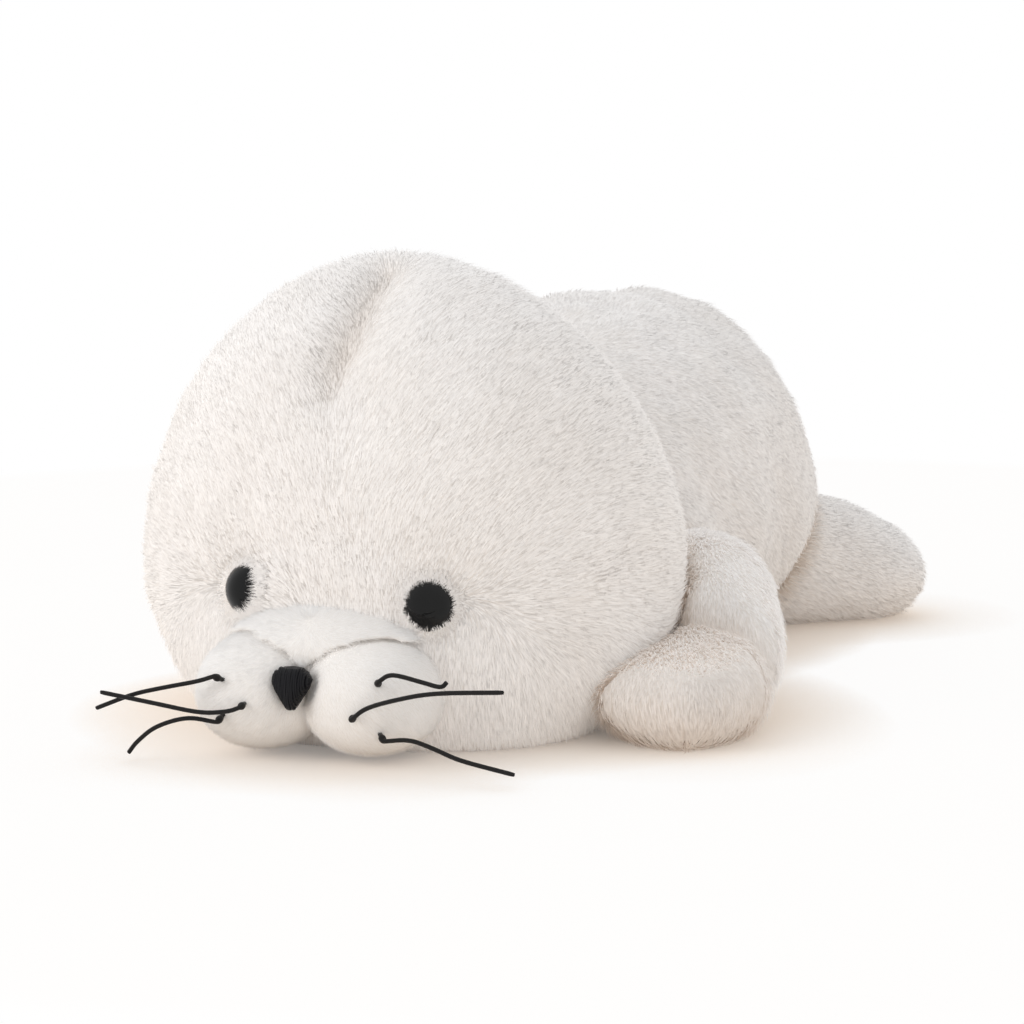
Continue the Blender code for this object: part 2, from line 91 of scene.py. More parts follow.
ahead = Vector((-math.sin(CAMERA_AZIMUTH), math.cos(CAMERA_AZIMUTH), 0.0))
to_the_right = Vector((math.cos(CAMERA_AZIMUTH), math.sin(CAMERA_AZIMUTH), 0.0))
camera_data = bpy.data.cameras.new("camera")
camera_data.lens = CAMERA_LENS
camera_data.sensor_width = 36.0
camera_data.clip_end = 50.0
camera = bpy.data.objects.new("camera", camera_data)
bpy.context.scene.collection.objects.link(camera)
camera.location = head_spot - ahead * CAMERA_DISTANCE + to_the_right * CAMERA_ASIDE
camera.location.z = CAMERA_HEIGHT
camera.rotation_euler = (math.pi / 2.0 - CAMERA_PITCH, 0.0, CAMERA_AZIMUTH)
bpy.context.scene.camera = camera
print("camera", [round(part, 3) for part in camera.location])

# %% [markdown]
# Comb strokes, stitches and the eyes' fringe are easiest to give as they are seen. A ray from
# the camera through a place in the picture finds that place on the sewn piece itself.

# %% Places as they are seen
PICTURE = 1024
view_ahead = (ahead * math.cos(CAMERA_PITCH) - Vector((0.0, 0.0, 1.0)) * math.sin(CAMERA_PITCH))
view_up = (ahead * math.sin(CAMERA_PITCH) + Vector((0.0, 0.0, 1.0)) * math.cos(CAMERA_PITCH))
LENS_IN_PIXELS = CAMERA_LENS / camera_data.sensor_width * PICTURE


def seen_on(tree, across, down):
    """The place on a search tree's surface that shows at a place in the picture."""
    way = (view_ahead * LENS_IN_PIXELS + to_the_right * (across - PICTURE / 2)
           + view_up * (PICTURE / 2 - down)).normalized()
    return tree.ray_cast(camera.location, way)[0]


def seen_way(right, upward):
    """A direction as it is drawn in the picture."""
    return (to_the_right * right + view_up * upward).normalized()


print("the lens in pixels", round(LENS_IN_PIXELS))

# %% [markdown]
# ## Studio
#
# A white table that runs out of sight, a pale sky and two large soft lamps. The sky does most
# of the work, so that the pile shades softly, and the lamps make the image-left side lighter.
# A brighter lamp would wash the table out, but it would burn out the white pile with it. So
# the camera sees part of the table as plain white instead. How much depends on how far the
# seal covers the sky there, which an Ambient Occlusion node finds, so its shadow stays.


# %% A small way to write shader trees
def add_node(tree, kind, settings=None, **inputs):
    """One node: settings are its properties, inputs are values or the sockets that feed it."""
    made = tree.nodes.new(kind)
    for key, value in (settings or {}).items():
        setattr(made, key, value)
    for key, value in inputs.items():
        socket = made.inputs[int(key[1:]) if key[0] == "n" and key[1:].isdigit() else key.replace("_", " ")]
        if isinstance(value, bpy.types.NodeSocket):
            tree.links.new(value, socket)
        else:
            socket.default_value = value
    return made


def new_material(name):
    made = bpy.data.materials.new(name)
    made.use_nodes = True
    made.node_tree.nodes.clear()
    return made, made.node_tree


def surface(tree, shader):
    output = tree.nodes.new("ShaderNodeOutputMaterial")
    tree.links.new(shader, output.inputs["Surface"])


def seen_directly(tree):
    """1 for what the camera sees itself, in a gloss or through glass, and 0 for light."""
    seen = add_node(tree, "ShaderNodeLightPath")
    most = add_node(tree, "ShaderNodeMath", {"operation": "MAXIMUM"},
                    n0=seen.outputs["Is Camera Ray"], n1=seen.outputs["Is Glossy Ray"])
    most = add_node(tree, "ShaderNodeMath", {"operation": "MAXIMUM"},
                    n0=most.outputs[0], n1=seen.outputs["Is Transmission Ray"])
    return most.outputs[0]

# %% Table
TABLE_SIZE = 60.0
# The camera sees this warm paper only where the seal covers the table, so its warmth is painted into the
# shadow. Light bounced off the table takes this colour too.
TABLE_AND_SHADOW_COLOUR = (0.92, 0.83, 0.74, 1.0)
SHADOW_REACH = 40 * MM
WHITE_IN_SHADOW = 0.05
WHITE_IN_OPEN = 0.92
WHITE_FROM = 0.16
WHITE_BY = 0.50
SHADE_MIDDLE = (0.02, 0.08, 0.0)
COVERED_SKY = 0.74
OPEN_SKY = 0.99

table_material, tree = new_material("studio_table")
paper = add_node(tree, "ShaderNodeBsdfDiffuse", Color=TABLE_AND_SHADOW_COLOUR)
white = add_node(tree, "ShaderNodeEmission", Color=(1.0, 1.0, 1.0, 1.0), Strength=1.0)
spot = add_node(tree, "ShaderNodeTexCoord")
off = add_node(tree, "ShaderNodeVectorMath", {"operation": "SUBTRACT"}, n0=spot.outputs["Object"])
off.inputs[1].default_value = SHADE_MIDDLE
far = add_node(tree, "ShaderNodeVectorMath", {"operation": "LENGTH"}, n0=off.outputs[0])
covered = add_node(tree, "ShaderNodeAmbientOcclusion", {"samples": 5}, Distance=SHADOW_REACH)
near_share = add_node(tree, "ShaderNodeMapRange", Value=covered.outputs["AO"], From_Min=COVERED_SKY,
                      From_Max=OPEN_SKY, To_Min=WHITE_IN_SHADOW, To_Max=WHITE_IN_OPEN)
far_share = add_node(tree, "ShaderNodeMapRange", Value=far.outputs["Value"], From_Min=WHITE_FROM,
                     From_Max=WHITE_BY)
share = add_node(tree, "ShaderNodeMath", {"operation": "MAXIMUM"},
                 n0=near_share.outputs[0], n1=far_share.outputs[0])
straight = seen_directly(tree)
share = add_node(tree, "ShaderNodeMath", {"operation": "MULTIPLY"},
                 n0=straight, n1=share.outputs[0])
mixed = add_node(tree, "ShaderNodeMixShader", n0=share.outputs[0],
                 n1=paper.outputs[0], n2=white.outputs[0])
surface(tree, mixed.outputs[0])

bm = bmesh.new()
bmesh.ops.create_grid(bm, x_segments=1, y_segments=1, size=TABLE_SIZE / 2.0)
table_mesh = bpy.data.meshes.new("studio_table")
bm.to_mesh(table_mesh)
bm.free()
table_mesh.materials.append(table_material)
table = bpy.data.objects.new("studio_table", table_mesh)
bpy.context.scene.collection.objects.link(table)
print("table", TABLE_SIZE, "m wide")

# %% Sky and lamps
SKY_DIM = 0.68
SKY_BRIGHT = 1.26
SKY_BLEND = 0.7
SKY_COLOUR = (1.0, 1.0, 1.0, 1.0)
up = Vector((0.0, 0.0, 1.0))
BRIGHT_SIDE = (ahead * 0.90 + to_the_right * 0.10 - up * 0.25).normalized()

world = bpy.data.worlds.new("studio_sky")
bpy.context.scene.world = world
world.use_nodes = True
tree = world.node_tree
tree.nodes.clear()
way = add_node(tree, "ShaderNodeTexCoord")
towards = add_node(tree, "ShaderNodeVectorMath", {"operation": "DOT_PRODUCT"}, n0=way.outputs["Generated"])
towards.inputs[1].default_value = BRIGHT_SIDE
level = add_node(tree, "ShaderNodeMapRange", {"interpolation_type": "SMOOTHSTEP"},
                 Value=towards.outputs["Value"], From_Min=-SKY_BLEND, From_Max=SKY_BLEND,
                 To_Min=SKY_DIM, To_Max=SKY_BRIGHT)
sky = add_node(tree, "ShaderNodeBackground", Color=SKY_COLOUR, Strength=level.outputs[0])
plain = add_node(tree, "ShaderNodeBackground", Color=(1.0, 1.0, 1.0, 1.0), Strength=1.0)
straight = seen_directly(tree)
mixed = add_node(tree, "ShaderNodeMixShader", n0=straight,
                 n1=sky.outputs[0], n2=plain.outputs[0])
output = tree.nodes.new("ShaderNodeOutputWorld")
tree.links.new(mixed.outputs[0], output.inputs["Surface"])


def soft_lamp(name, place, size, power, colour):
    """A square softbox that looks at the head. Power is for its own distance."""
    data = bpy.data.lights.new(name, "AREA")
    data.size = size
    data.energy = power
    data.color = colour
    made = bpy.data.objects.new(name, data)
    bpy.context.scene.collection.objects.link(made)
    made.location = head_spot + place
    made.rotation_euler = (head_centre - made.location).to_track_quat("-Z", "Y").to_euler()
    made.visible_glossy = False
    return made


KEY_PLACE = -ahead * 0.60 - to_the_right * 1.50 + Vector((0.0, 0.0, 0.85))
LOW_PLACE = -ahead * 1.3 + to_the_right * 0.35 + Vector((0.0, 0.0, 0.12))
key_lamp = soft_lamp("key_lamp", KEY_PLACE, 1.0, 10.0, (1.0, 0.99, 0.985))
low_lamp = soft_lamp("low_lamp", LOW_PLACE, 0.9, 3.2, (1.0, 0.99, 0.98))
bpy.context.scene.view_settings.view_transform = "Standard"
print("lamps", key_lamp.name, low_lamp.name)

# %% [markdown]
# ## Plush cloth
#
# Two finishes dress the stuffed sections. The backing cloth is what shows between the fibres,
# so it is a warm woven ground, painted a little darker as painted shade under the pile. The
# fibres are nearly white at the tip and painted warmer and darker towards the root, as painted
# shade deep in the pile, because the coats cast no shadows. Each is a shade lighter or darker
# than the next, which is what makes single strands readable. Where the skin carries painted
# shade between sections, in folds and near the floor, the fibres are painted browner still.
# Blades shaded by their own flat sides look like dark needles, because real pile scatters the
# light among its fibres. So a blade takes the light of the cloth that it grows from, stored on
# it as the attribute "lie": the front of a blade through a plain cloth shader, and its back
# through a translucent one that looks the other way.

# %% Plush colours
FIBRE_TIP = (0.915, 0.898, 0.890, 1.0)
# Painted shade: the roots are darker and warmer than the tips, for the shade deep in the pile, which casts no
# shadows of its own.
FIBRE_ROOT_SHADED = (0.820, 0.775, 0.735, 1.0)
FIBRE_SHADE = (0.780, 0.735, 0.695, 1.0)
SHORT_TIP = (0.960, 0.952, 0.945, 1.0)
SHORT_ROOT_SHADED = (0.900, 0.870, 0.840, 1.0)
# Painted shade: a brown that darkens the pile where sections meet, in folds and seams, and near the floor.
PAINTED_SHADE_TINT = (0.560, 0.430, 0.320, 1.0)
# Painted shade: the backing is a little darker and warmer than the fibre tips, for the shade under the pile.
SHADED_BACKING = (0.800, 0.755, 0.715, 1.0)
PAINTED_SHADE_STRENGTH = 0.55
PILE_SHEEN = 0.25
PATCHES_A_METRE = 28.0
print("tip and root of a fibre", FIBRE_TIP[:3], FIBRE_ROOT_SHADED[:3])


# %% Finish of the fibres
def mix_colour(tree, share, first, second, blend="MIX"):
    made = tree.nodes.new("ShaderNodeMix")
    made.data_type = "RGBA"
    made.blend_type = blend
    for title, value in (("Factor", share), ("A", first), ("B", second)):
        pick = [one for one in made.inputs if one.name == title and one.enabled][0]
        if isinstance(value, bpy.types.NodeSocket):
            tree.links.new(value, pick)
        else:
            pick.default_value = value
    return [one for one in made.outputs if one.enabled][0]


def pile_material(name, root, tip, tone_spread, patch_share):
    """Fibres: a root to tip colour with painted shade at the root, a tone of their own, painted shade from
    the skin, and the cloth's lie for their light.
    """
    made, tree = new_material(name)
    along = add_node(tree, "ShaderNodeAttribute", {"attribute_name": "along"})
    tone = add_node(tree, "ShaderNodeAttribute", {"attribute_name": "tone"})
    painted_shade = add_node(tree, "ShaderNodeAttribute", {"attribute_name": "painted_shade"})
    lie = add_node(tree, "ShaderNodeAttribute", {"attribute_name": "lie"})
    # Painted shade deep in the pile: a darker, warmer root colour low on each blade.
    rise = add_node(tree, "ShaderNodeMapRange", Value=along.outputs["Fac"], From_Max=0.75)
    colour = mix_colour(tree, rise.outputs[0], root, tip)
    place = add_node(tree, "ShaderNodeTexCoord")
    patches = add_node(tree, "ShaderNodeTexNoise", Vector=place.outputs["Object"],
                       Scale=PATCHES_A_METRE, Detail=2.0)
    patchy = add_node(tree, "ShaderNodeMapRange", Value=patches.outputs["Fac"], From_Min=0.40, From_Max=0.75,
                      To_Max=patch_share)
    colour = mix_colour(tree, patchy.outputs[0], colour, FIBRE_SHADE)
    shade = add_node(tree, "ShaderNodeMapRange", Value=tone.outputs["Fac"],
                     To_Min=1.0 - tone_spread, To_Max=1.0 + tone_spread * 0.35)
    grey = add_node(tree, "ShaderNodeCombineColor", Red=shade.outputs[0],
                    Green=shade.outputs[0], Blue=shade.outputs[0])
    colour = mix_colour(tree, 1.0, colour, grey.outputs[0], "MULTIPLY")
    # Painted shade: the pile is browner where the skin marks it as lying between sections, in a fold or seam,
    # or near the floor.
    deep = add_node(tree, "ShaderNodeMath", {"operation": "MULTIPLY"},
                    n0=painted_shade.outputs["Fac"], n1=PAINTED_SHADE_STRENGTH)
    colour = mix_colour(tree, deep.outputs[0], colour, PAINTED_SHADE_TINT)
    turned = add_node(tree, "ShaderNodeVectorTransform",
                      {"vector_type": "NORMAL", "convert_from": "OBJECT", "convert_to": "WORLD"},
                      Vector=lie.outputs["Vector"])
    cloth = add_node(tree, "ShaderNodeBsdfPrincipled", Base_Color=colour, Roughness=0.85,
                     Specular_IOR_Level=0.15, Sheen_Weight=PILE_SHEEN, Sheen_Roughness=0.5,
                     Normal=turned.outputs[0])
    under = add_node(tree, "ShaderNodeVectorMath", {"operation": "SCALE"}, n0=turned.outputs[0], Scale=-1.0)
    through = add_node(tree, "ShaderNodeBsdfTranslucent", Color=colour, Normal=under.outputs[0])
    side = add_node(tree, "ShaderNodeNewGeometry")
    both = add_node(tree, "ShaderNodeMixShader", n0=side.outputs["Backfacing"],
                    n1=cloth.outputs[0], n2=through.outputs[0])
    surface(tree, both.outputs[0])
    return made


plush_pile = pile_material("plush_pile", FIBRE_ROOT_SHADED, FIBRE_TIP, 0.10, 0.30)
short_pile = pile_material("short_pile", SHORT_ROOT_SHADED, SHORT_TIP, 0.03, 0.05)
print("fibres", plush_pile.name, short_pile.name)


# %% Finish of the backing cloth
def backing_material(name, colour):
    made, tree = new_material(name)
    place = add_node(tree, "ShaderNodeTexCoord")
    knit = add_node(tree, "ShaderNodeTexNoise", Vector=place.outputs["Object"], Scale=900.0, Detail=2.0)
    dark = tuple(part * 0.85 for part in colour[:3]) + (1.0,)
    tint = mix_colour(tree, knit.outputs["Fac"], dark, colour)
    bump = add_node(tree, "ShaderNodeBump", Strength=0.4, Distance=0.0003, Height=knit.outputs["Fac"])
    cloth = add_node(tree, "ShaderNodeBsdfPrincipled", Base_Color=tint, Roughness=0.95,
                     Specular_IOR_Level=0.1, Normal=bump.outputs[0])
    surface(tree, cloth.outputs[0])
    return made


plush_backing = backing_material("plush_backing", SHADED_BACKING)
short_backing = backing_material("short_backing", SHORT_ROOT_SHADED)
print("backings", plush_backing.name, short_backing.name)

# %% [markdown]
# ## Stuffed skins
#
# A stuffed section is cloth held out by its filling. Its solid in the frame reaches to the tips
# of the pile, so the cloth starts well inside it and is blown up by a short cloth simulation,
# which rounds it and lets it draw in where it is held. A plain offset would be quicker, but
# it keeps the solid's even roundness and makes no draw at the seams. Each point may only move
# a few millimetres, so that the skin stays under its pile.

# %% Sizes of the skins
VOXEL = 4.0 * MM
PILE_STANDS = 2.6 * MM
SWELL_ROOM = 3.0 * MM
CLOTH_FRAMES = 20
CLOTH_TENSION = 5.0
CLOTH_PUSH = 7500.0
SEWN_WITHIN = 0.8 * MM
FREE_BEYOND = 9.0 * MM
SHRINK_STEPS = 4
FOOT_FROM = 0.5 * MM
FOOT_TO = 7.0 * MM
# Painted shade reaches this far from a neighbouring section and up from the floor.
PAINTED_SHADE_REACH = 5.0 * MM
PAINTED_SHADE_FULL = 1.0 * MM
FOOT_PAINTED_SHADE = 0.45
HELD_SHRINKS = 0.12
FLOOR_GAP = 0.6 * MM
print("cloth starts mm under the solid", (PILE_STANDS + SWELL_ROOM) / MM)


# %% Objects, modifiers and attributes
def link_object(name, mesh):
    made = bpy.data.objects.new(name, mesh)
    bpy.context.scene.collection.objects.link(made)
    return made


def applied(piece):
    """Makes the piece's modifiers part of its mesh."""
    graph = bpy.context.evaluated_depsgraph_get()
    mesh = bpy.data.meshes.new_from_object(piece.evaluated_get(graph), preserve_all_data_layers=True,
                                           depsgraph=graph)
    piece.modifiers.clear()
    piece.data = mesh
    return piece


def set_attribute(mesh, name, kind, values):
    if name in mesh.attributes:
        mesh.attributes.remove(mesh.attributes[name])
    layer = mesh.attributes.new(name, kind, "POINT")
    key = {"FLOAT": "value", "FLOAT_VECTOR": "vector"}[kind]
    flat = [part for value in values for part in value] if kind == "FLOAT_VECTOR" else list(values)
    layer.data.foreach_set(key, flat)


# %% Solids as surfaces
def joined_copy(node):
    """A copy of a solid's surface with its loose triangles joined."""
    bm = bmesh.new()
    bm.from_mesh(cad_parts[node].data)
    bmesh.ops.remove_doubles(bm, verts=bm.verts[:], dist=1e-6)
    bmesh.ops.recalc_face_normals(bm, faces=bm.faces[:])
    return bm


def neighbour_tree(names):
    """One search tree over the solids that a section is sewn to."""
    bm = bmesh.new()
    for name in names:
        bm.from_mesh(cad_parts[name].data)
    tree = BVHTree.FromBMesh(bm)
    bm.free()
    return tree


# %% Soft edges and smooth skins
def smooth_share(start, end, at):
    """0 before the start, 1 past the end, and an even rise between."""
    share = min(1.0, max(0.0, (at - start) / (end - start)))
    return share * share * (3.0 - 2.0 * share)


def smooth_mesh(mesh, times):
    bm = bmesh.new()
    bm.from_mesh(mesh)
    for _ in range(times):
        bmesh.ops.smooth_vert(bm, verts=bm.verts[:], factor=0.5,
                              use_axis_x=True, use_axis_y=True, use_axis_z=True)
    bm.to_mesh(mesh)
    bm.free()


def face_outwards(mesh):
    bm = bmesh.new()
    bm.from_mesh(mesh)
    bmesh.ops.recalc_face_normals(bm, faces=bm.faces[:])
    if bm.calc_volume(signed=True) < 0.0:
        bmesh.ops.reverse_faces(bm, faces=bm.faces[:])
    bm.to_mesh(mesh)
    bm.free()


# %% Where shade is painted on the pile
def painted_shade_shares(mesh, names):
    """How deep each point lies between sections or against the floor, where shade is painted on the pile."""
    tree = neighbour_tree(names) if names else None
    shares = []
    for vertex in mesh.vertices:
        share = smooth_share(FOOT_TO, FOOT_FROM, vertex.co.z) * FOOT_PAINTED_SHADE
        if tree:
            share = max(share, smooth_share(PAINTED_SHADE_REACH, PAINTED_SHADE_FULL, tree.find_nearest(vertex.co)[3]))
        shares.append(share)
    return shares


# %% Crumbs of a remesh
def drop_crumbs(mesh):
    """Keeps the largest closed piece of a mesh and deletes crumbs the remesh left beside it."""
    bm = bmesh.new()
    bm.from_mesh(mesh)
    waiting, pieces = set(bm.verts), []
    while waiting:
        edge_of_piece = [waiting.pop()]
        piece = list(edge_of_piece)
        while edge_of_piece:
            around = {edge.other_vert(vertex) for vertex in edge_of_piece for edge in vertex.link_edges}
            edge_of_piece = list(around & waiting)
            waiting -= around
            piece += edge_of_piece
        pieces.append(piece)
    pieces.sort(key=len)
    for crumb in pieces[:-1]:
        bmesh.ops.delete(bm, geom=crumb, context="VERTS")
    bm.to_mesh(mesh)
    bm.free()

# %% [markdown]
# The skin is made in four steps: an even grid of faces, a shrink by the pile's height and the
# room to swell, the cloth simulation under pressure from inside, and a smooth subdivision.
# Points near a neighbour or on the floor are held, which draws the cloth in at the seams.


# %% The stuffing
def stuffed_skin(name, bm, sewn_to, inset, cap, voxel=VOXEL, free_beyond=FREE_BEYOND, joints=None):
    """A remeshed skin inside the form, held where it is sewn and blown up by a cloth simulation."""
    mesh = bpy.data.meshes.new(name)
    bm.to_mesh(mesh)
    bm.free()
    skin = link_object(name, mesh)
    grid = skin.modifiers.new("even_faces", "REMESH")
    grid.mode = "VOXEL"
    grid.voxel_size = voxel
    applied(skin)
    drop_crumbs(skin.data)
    face_outwards(skin.data)
    near = neighbour_tree(sewn_to)
    free = [smooth_share(SEWN_WITHIN, free_beyond, near.find_nearest(vertex.co)[3])
            * smooth_share(FOOT_FROM, FOOT_TO, vertex.co.z) for vertex in skin.data.vertices]
    depth = inset + cap
    for _ in range(SHRINK_STEPS):
        normals = [vertex.normal.copy() for vertex in skin.data.vertices]
        for vertex, normal, share in zip(skin.data.vertices, normals, free):
            inwards = HELD_SHRINKS + (1.0 - HELD_SHRINKS) * share
            vertex.co -= normal * depth * inwards / SHRINK_STEPS
        smooth_mesh(skin.data, 1)
    before = [vertex.co.copy() for vertex in skin.data.vertices]
    held = skin.vertex_groups.new(name="sewn")
    for vertex, share in zip(skin.data.vertices, free):
        held.add([vertex.index], 1.0 - share, "REPLACE")
    cloth = skin.modifiers.new("stuffing", "CLOTH")
    cloth.settings.vertex_group_mass = "sewn"
    cloth.settings.use_pressure = True
    cloth.settings.tension_stiffness = cloth.settings.compression_stiffness = CLOTH_TENSION
    cloth.settings.uniform_pressure_force = CLOTH_PUSH * cap / voxel
    cloth.settings.effector_weights.gravity = 0.0
    cloth.settings.quality = 4
    for step in range(1, CLOTH_FRAMES + 1):
        bpy.context.scene.frame_set(step)
    applied(skin)
    bpy.context.scene.frame_set(1)
    moves = [vertex.co - start for vertex, start in zip(skin.data.vertices, before)]
    for vertex, start, move in zip(skin.data.vertices, before, moves):
        if move.length > cap:
            vertex.co = start + move.normalized() * cap
    print(name, "swelled mm", round(sum(min(move.length, cap) for move in moves) / len(moves) / MM, 2))
    smooth_mesh(skin.data, 2)
    for vertex in skin.data.vertices:
        vertex.co.z = max(vertex.co.z, FLOOR_GAP)
    # Stores where shade is painted: near the neighbours and the floor.
    set_attribute(skin.data, "painted_shade", "FLOAT", painted_shade_shares(skin.data, sewn_to if joints is None else joints))
    finer = skin.modifiers.new("finer", "SUBSURF")
    finer.levels = finer.render_levels = 1
    applied(skin)
    skin.data.shade_smooth()
    print(name, "faces", len(skin.data.polygons))
    return skin

# %% [markdown]
# ## Combing
#
# Pile cloth has a nap: every fibre lies the same way as its neighbours. The way it lies is
# given as a few comb strokes, each a place on the section and a direction, and every point
# of the skin takes a blend of the strokes near it, laid flat against the cloth. Each point
# also keeps how long the pile is there, how far it stands up and how thickly it covers.

# %% Comb strokes
STROKE_FLOOR = 0.02


def stroke_blend(strokes, place, otherwise):
    """The blended direction of the comb strokes near a place."""
    total = otherwise * STROKE_FLOOR
    for spot, way, reach in strokes:
        total += way * math.exp(-((place - spot).length / reach) ** 2)
    return total


def comb(skin, nap_at, length_at, cover_at=None, stand_at=None):
    """Stores the nap, the pile's length, its cover and its rise at each point of the skin."""
    naps, lengths, covers, stands = [], [], [], []
    for vertex in skin.data.vertices:
        normal = vertex.normal
        way = nap_at(vertex.co, normal)
        way = way - normal * way.dot(normal)
        naps.append(way.normalized() if way.length > 1e-9 else normal.orthogonal().normalized())
        lengths.append(length_at(vertex.co))
        covers.append(cover_at(vertex.co) if cover_at else 1.0)
        stands.append(stand_at(vertex.co) if stand_at else 1.0)
    set_attribute(skin.data, "nap", "FLOAT_VECTOR", naps)
    set_attribute(skin.data, "pile", "FLOAT", lengths)
    set_attribute(skin.data, "cover", "FLOAT", covers)
    set_attribute(skin.data, "stand", "FLOAT", stands)

# %% [markdown]
# ## Growing the pile
#
# The fibres are instances of one small curved blade. A hair system would render as well, but
# it doesn't export as a mesh. So geometry nodes scatter points over the skin, turn a blade
# into the nap at each, with a slow wander that gathers neighbours into locks, and turn the
# instances into mesh. A plainer blade of one face makes the dense undercoat. Tips that would
# reach through the floor are laid flat on it.

# %% Fibre patterns
FIBRE_BOW = 0.16


def make_fibre(name, rows):
    """A blade one unit long along Z and one wide along X, bowed towards +Y at each row."""
    bm = bmesh.new()
    pairs = [[bm.verts.new((side * half, bow * FIBRE_BOW, height)) for side in (-1.0, 1.0)]
             for height, half, bow in rows]
    tip = bm.verts.new((0.0, 0.0, 1.0))
    for lower, upper in zip(pairs, pairs[1:]):
        bm.faces.new((lower[1], lower[0], upper[0], upper[1]))
    bm.faces.new((pairs[-1][1], pairs[-1][0], tip))
    bmesh.ops.triangulate(bm, faces=bm.faces[:])
    mesh = bpy.data.meshes.new(name)
    bm.to_mesh(mesh)
    bm.free()
    set_attribute(mesh, "along", "FLOAT", [vertex.co.z for vertex in mesh.vertices])
    made = link_object(name, mesh)
    made.hide_render = True
    return made


bowed_fibre = make_fibre("bowed_fibre", ((0.0, 0.42, 0.0), (0.55, 0.5, 1.0)))
down_fibre = make_fibre("down_fibre", ((0.0, 0.5, 0.0),))

# %% The coat as geometry nodes
LENGTHS = (0.78, 1.12)
BREADTHS = (0.65, 1.15)
FACING_SPREAD = 0.18
LIE_SPREAD = 0.08
LAID_AT = 0.3 * MM
WANDER_DETAIL = 1.5


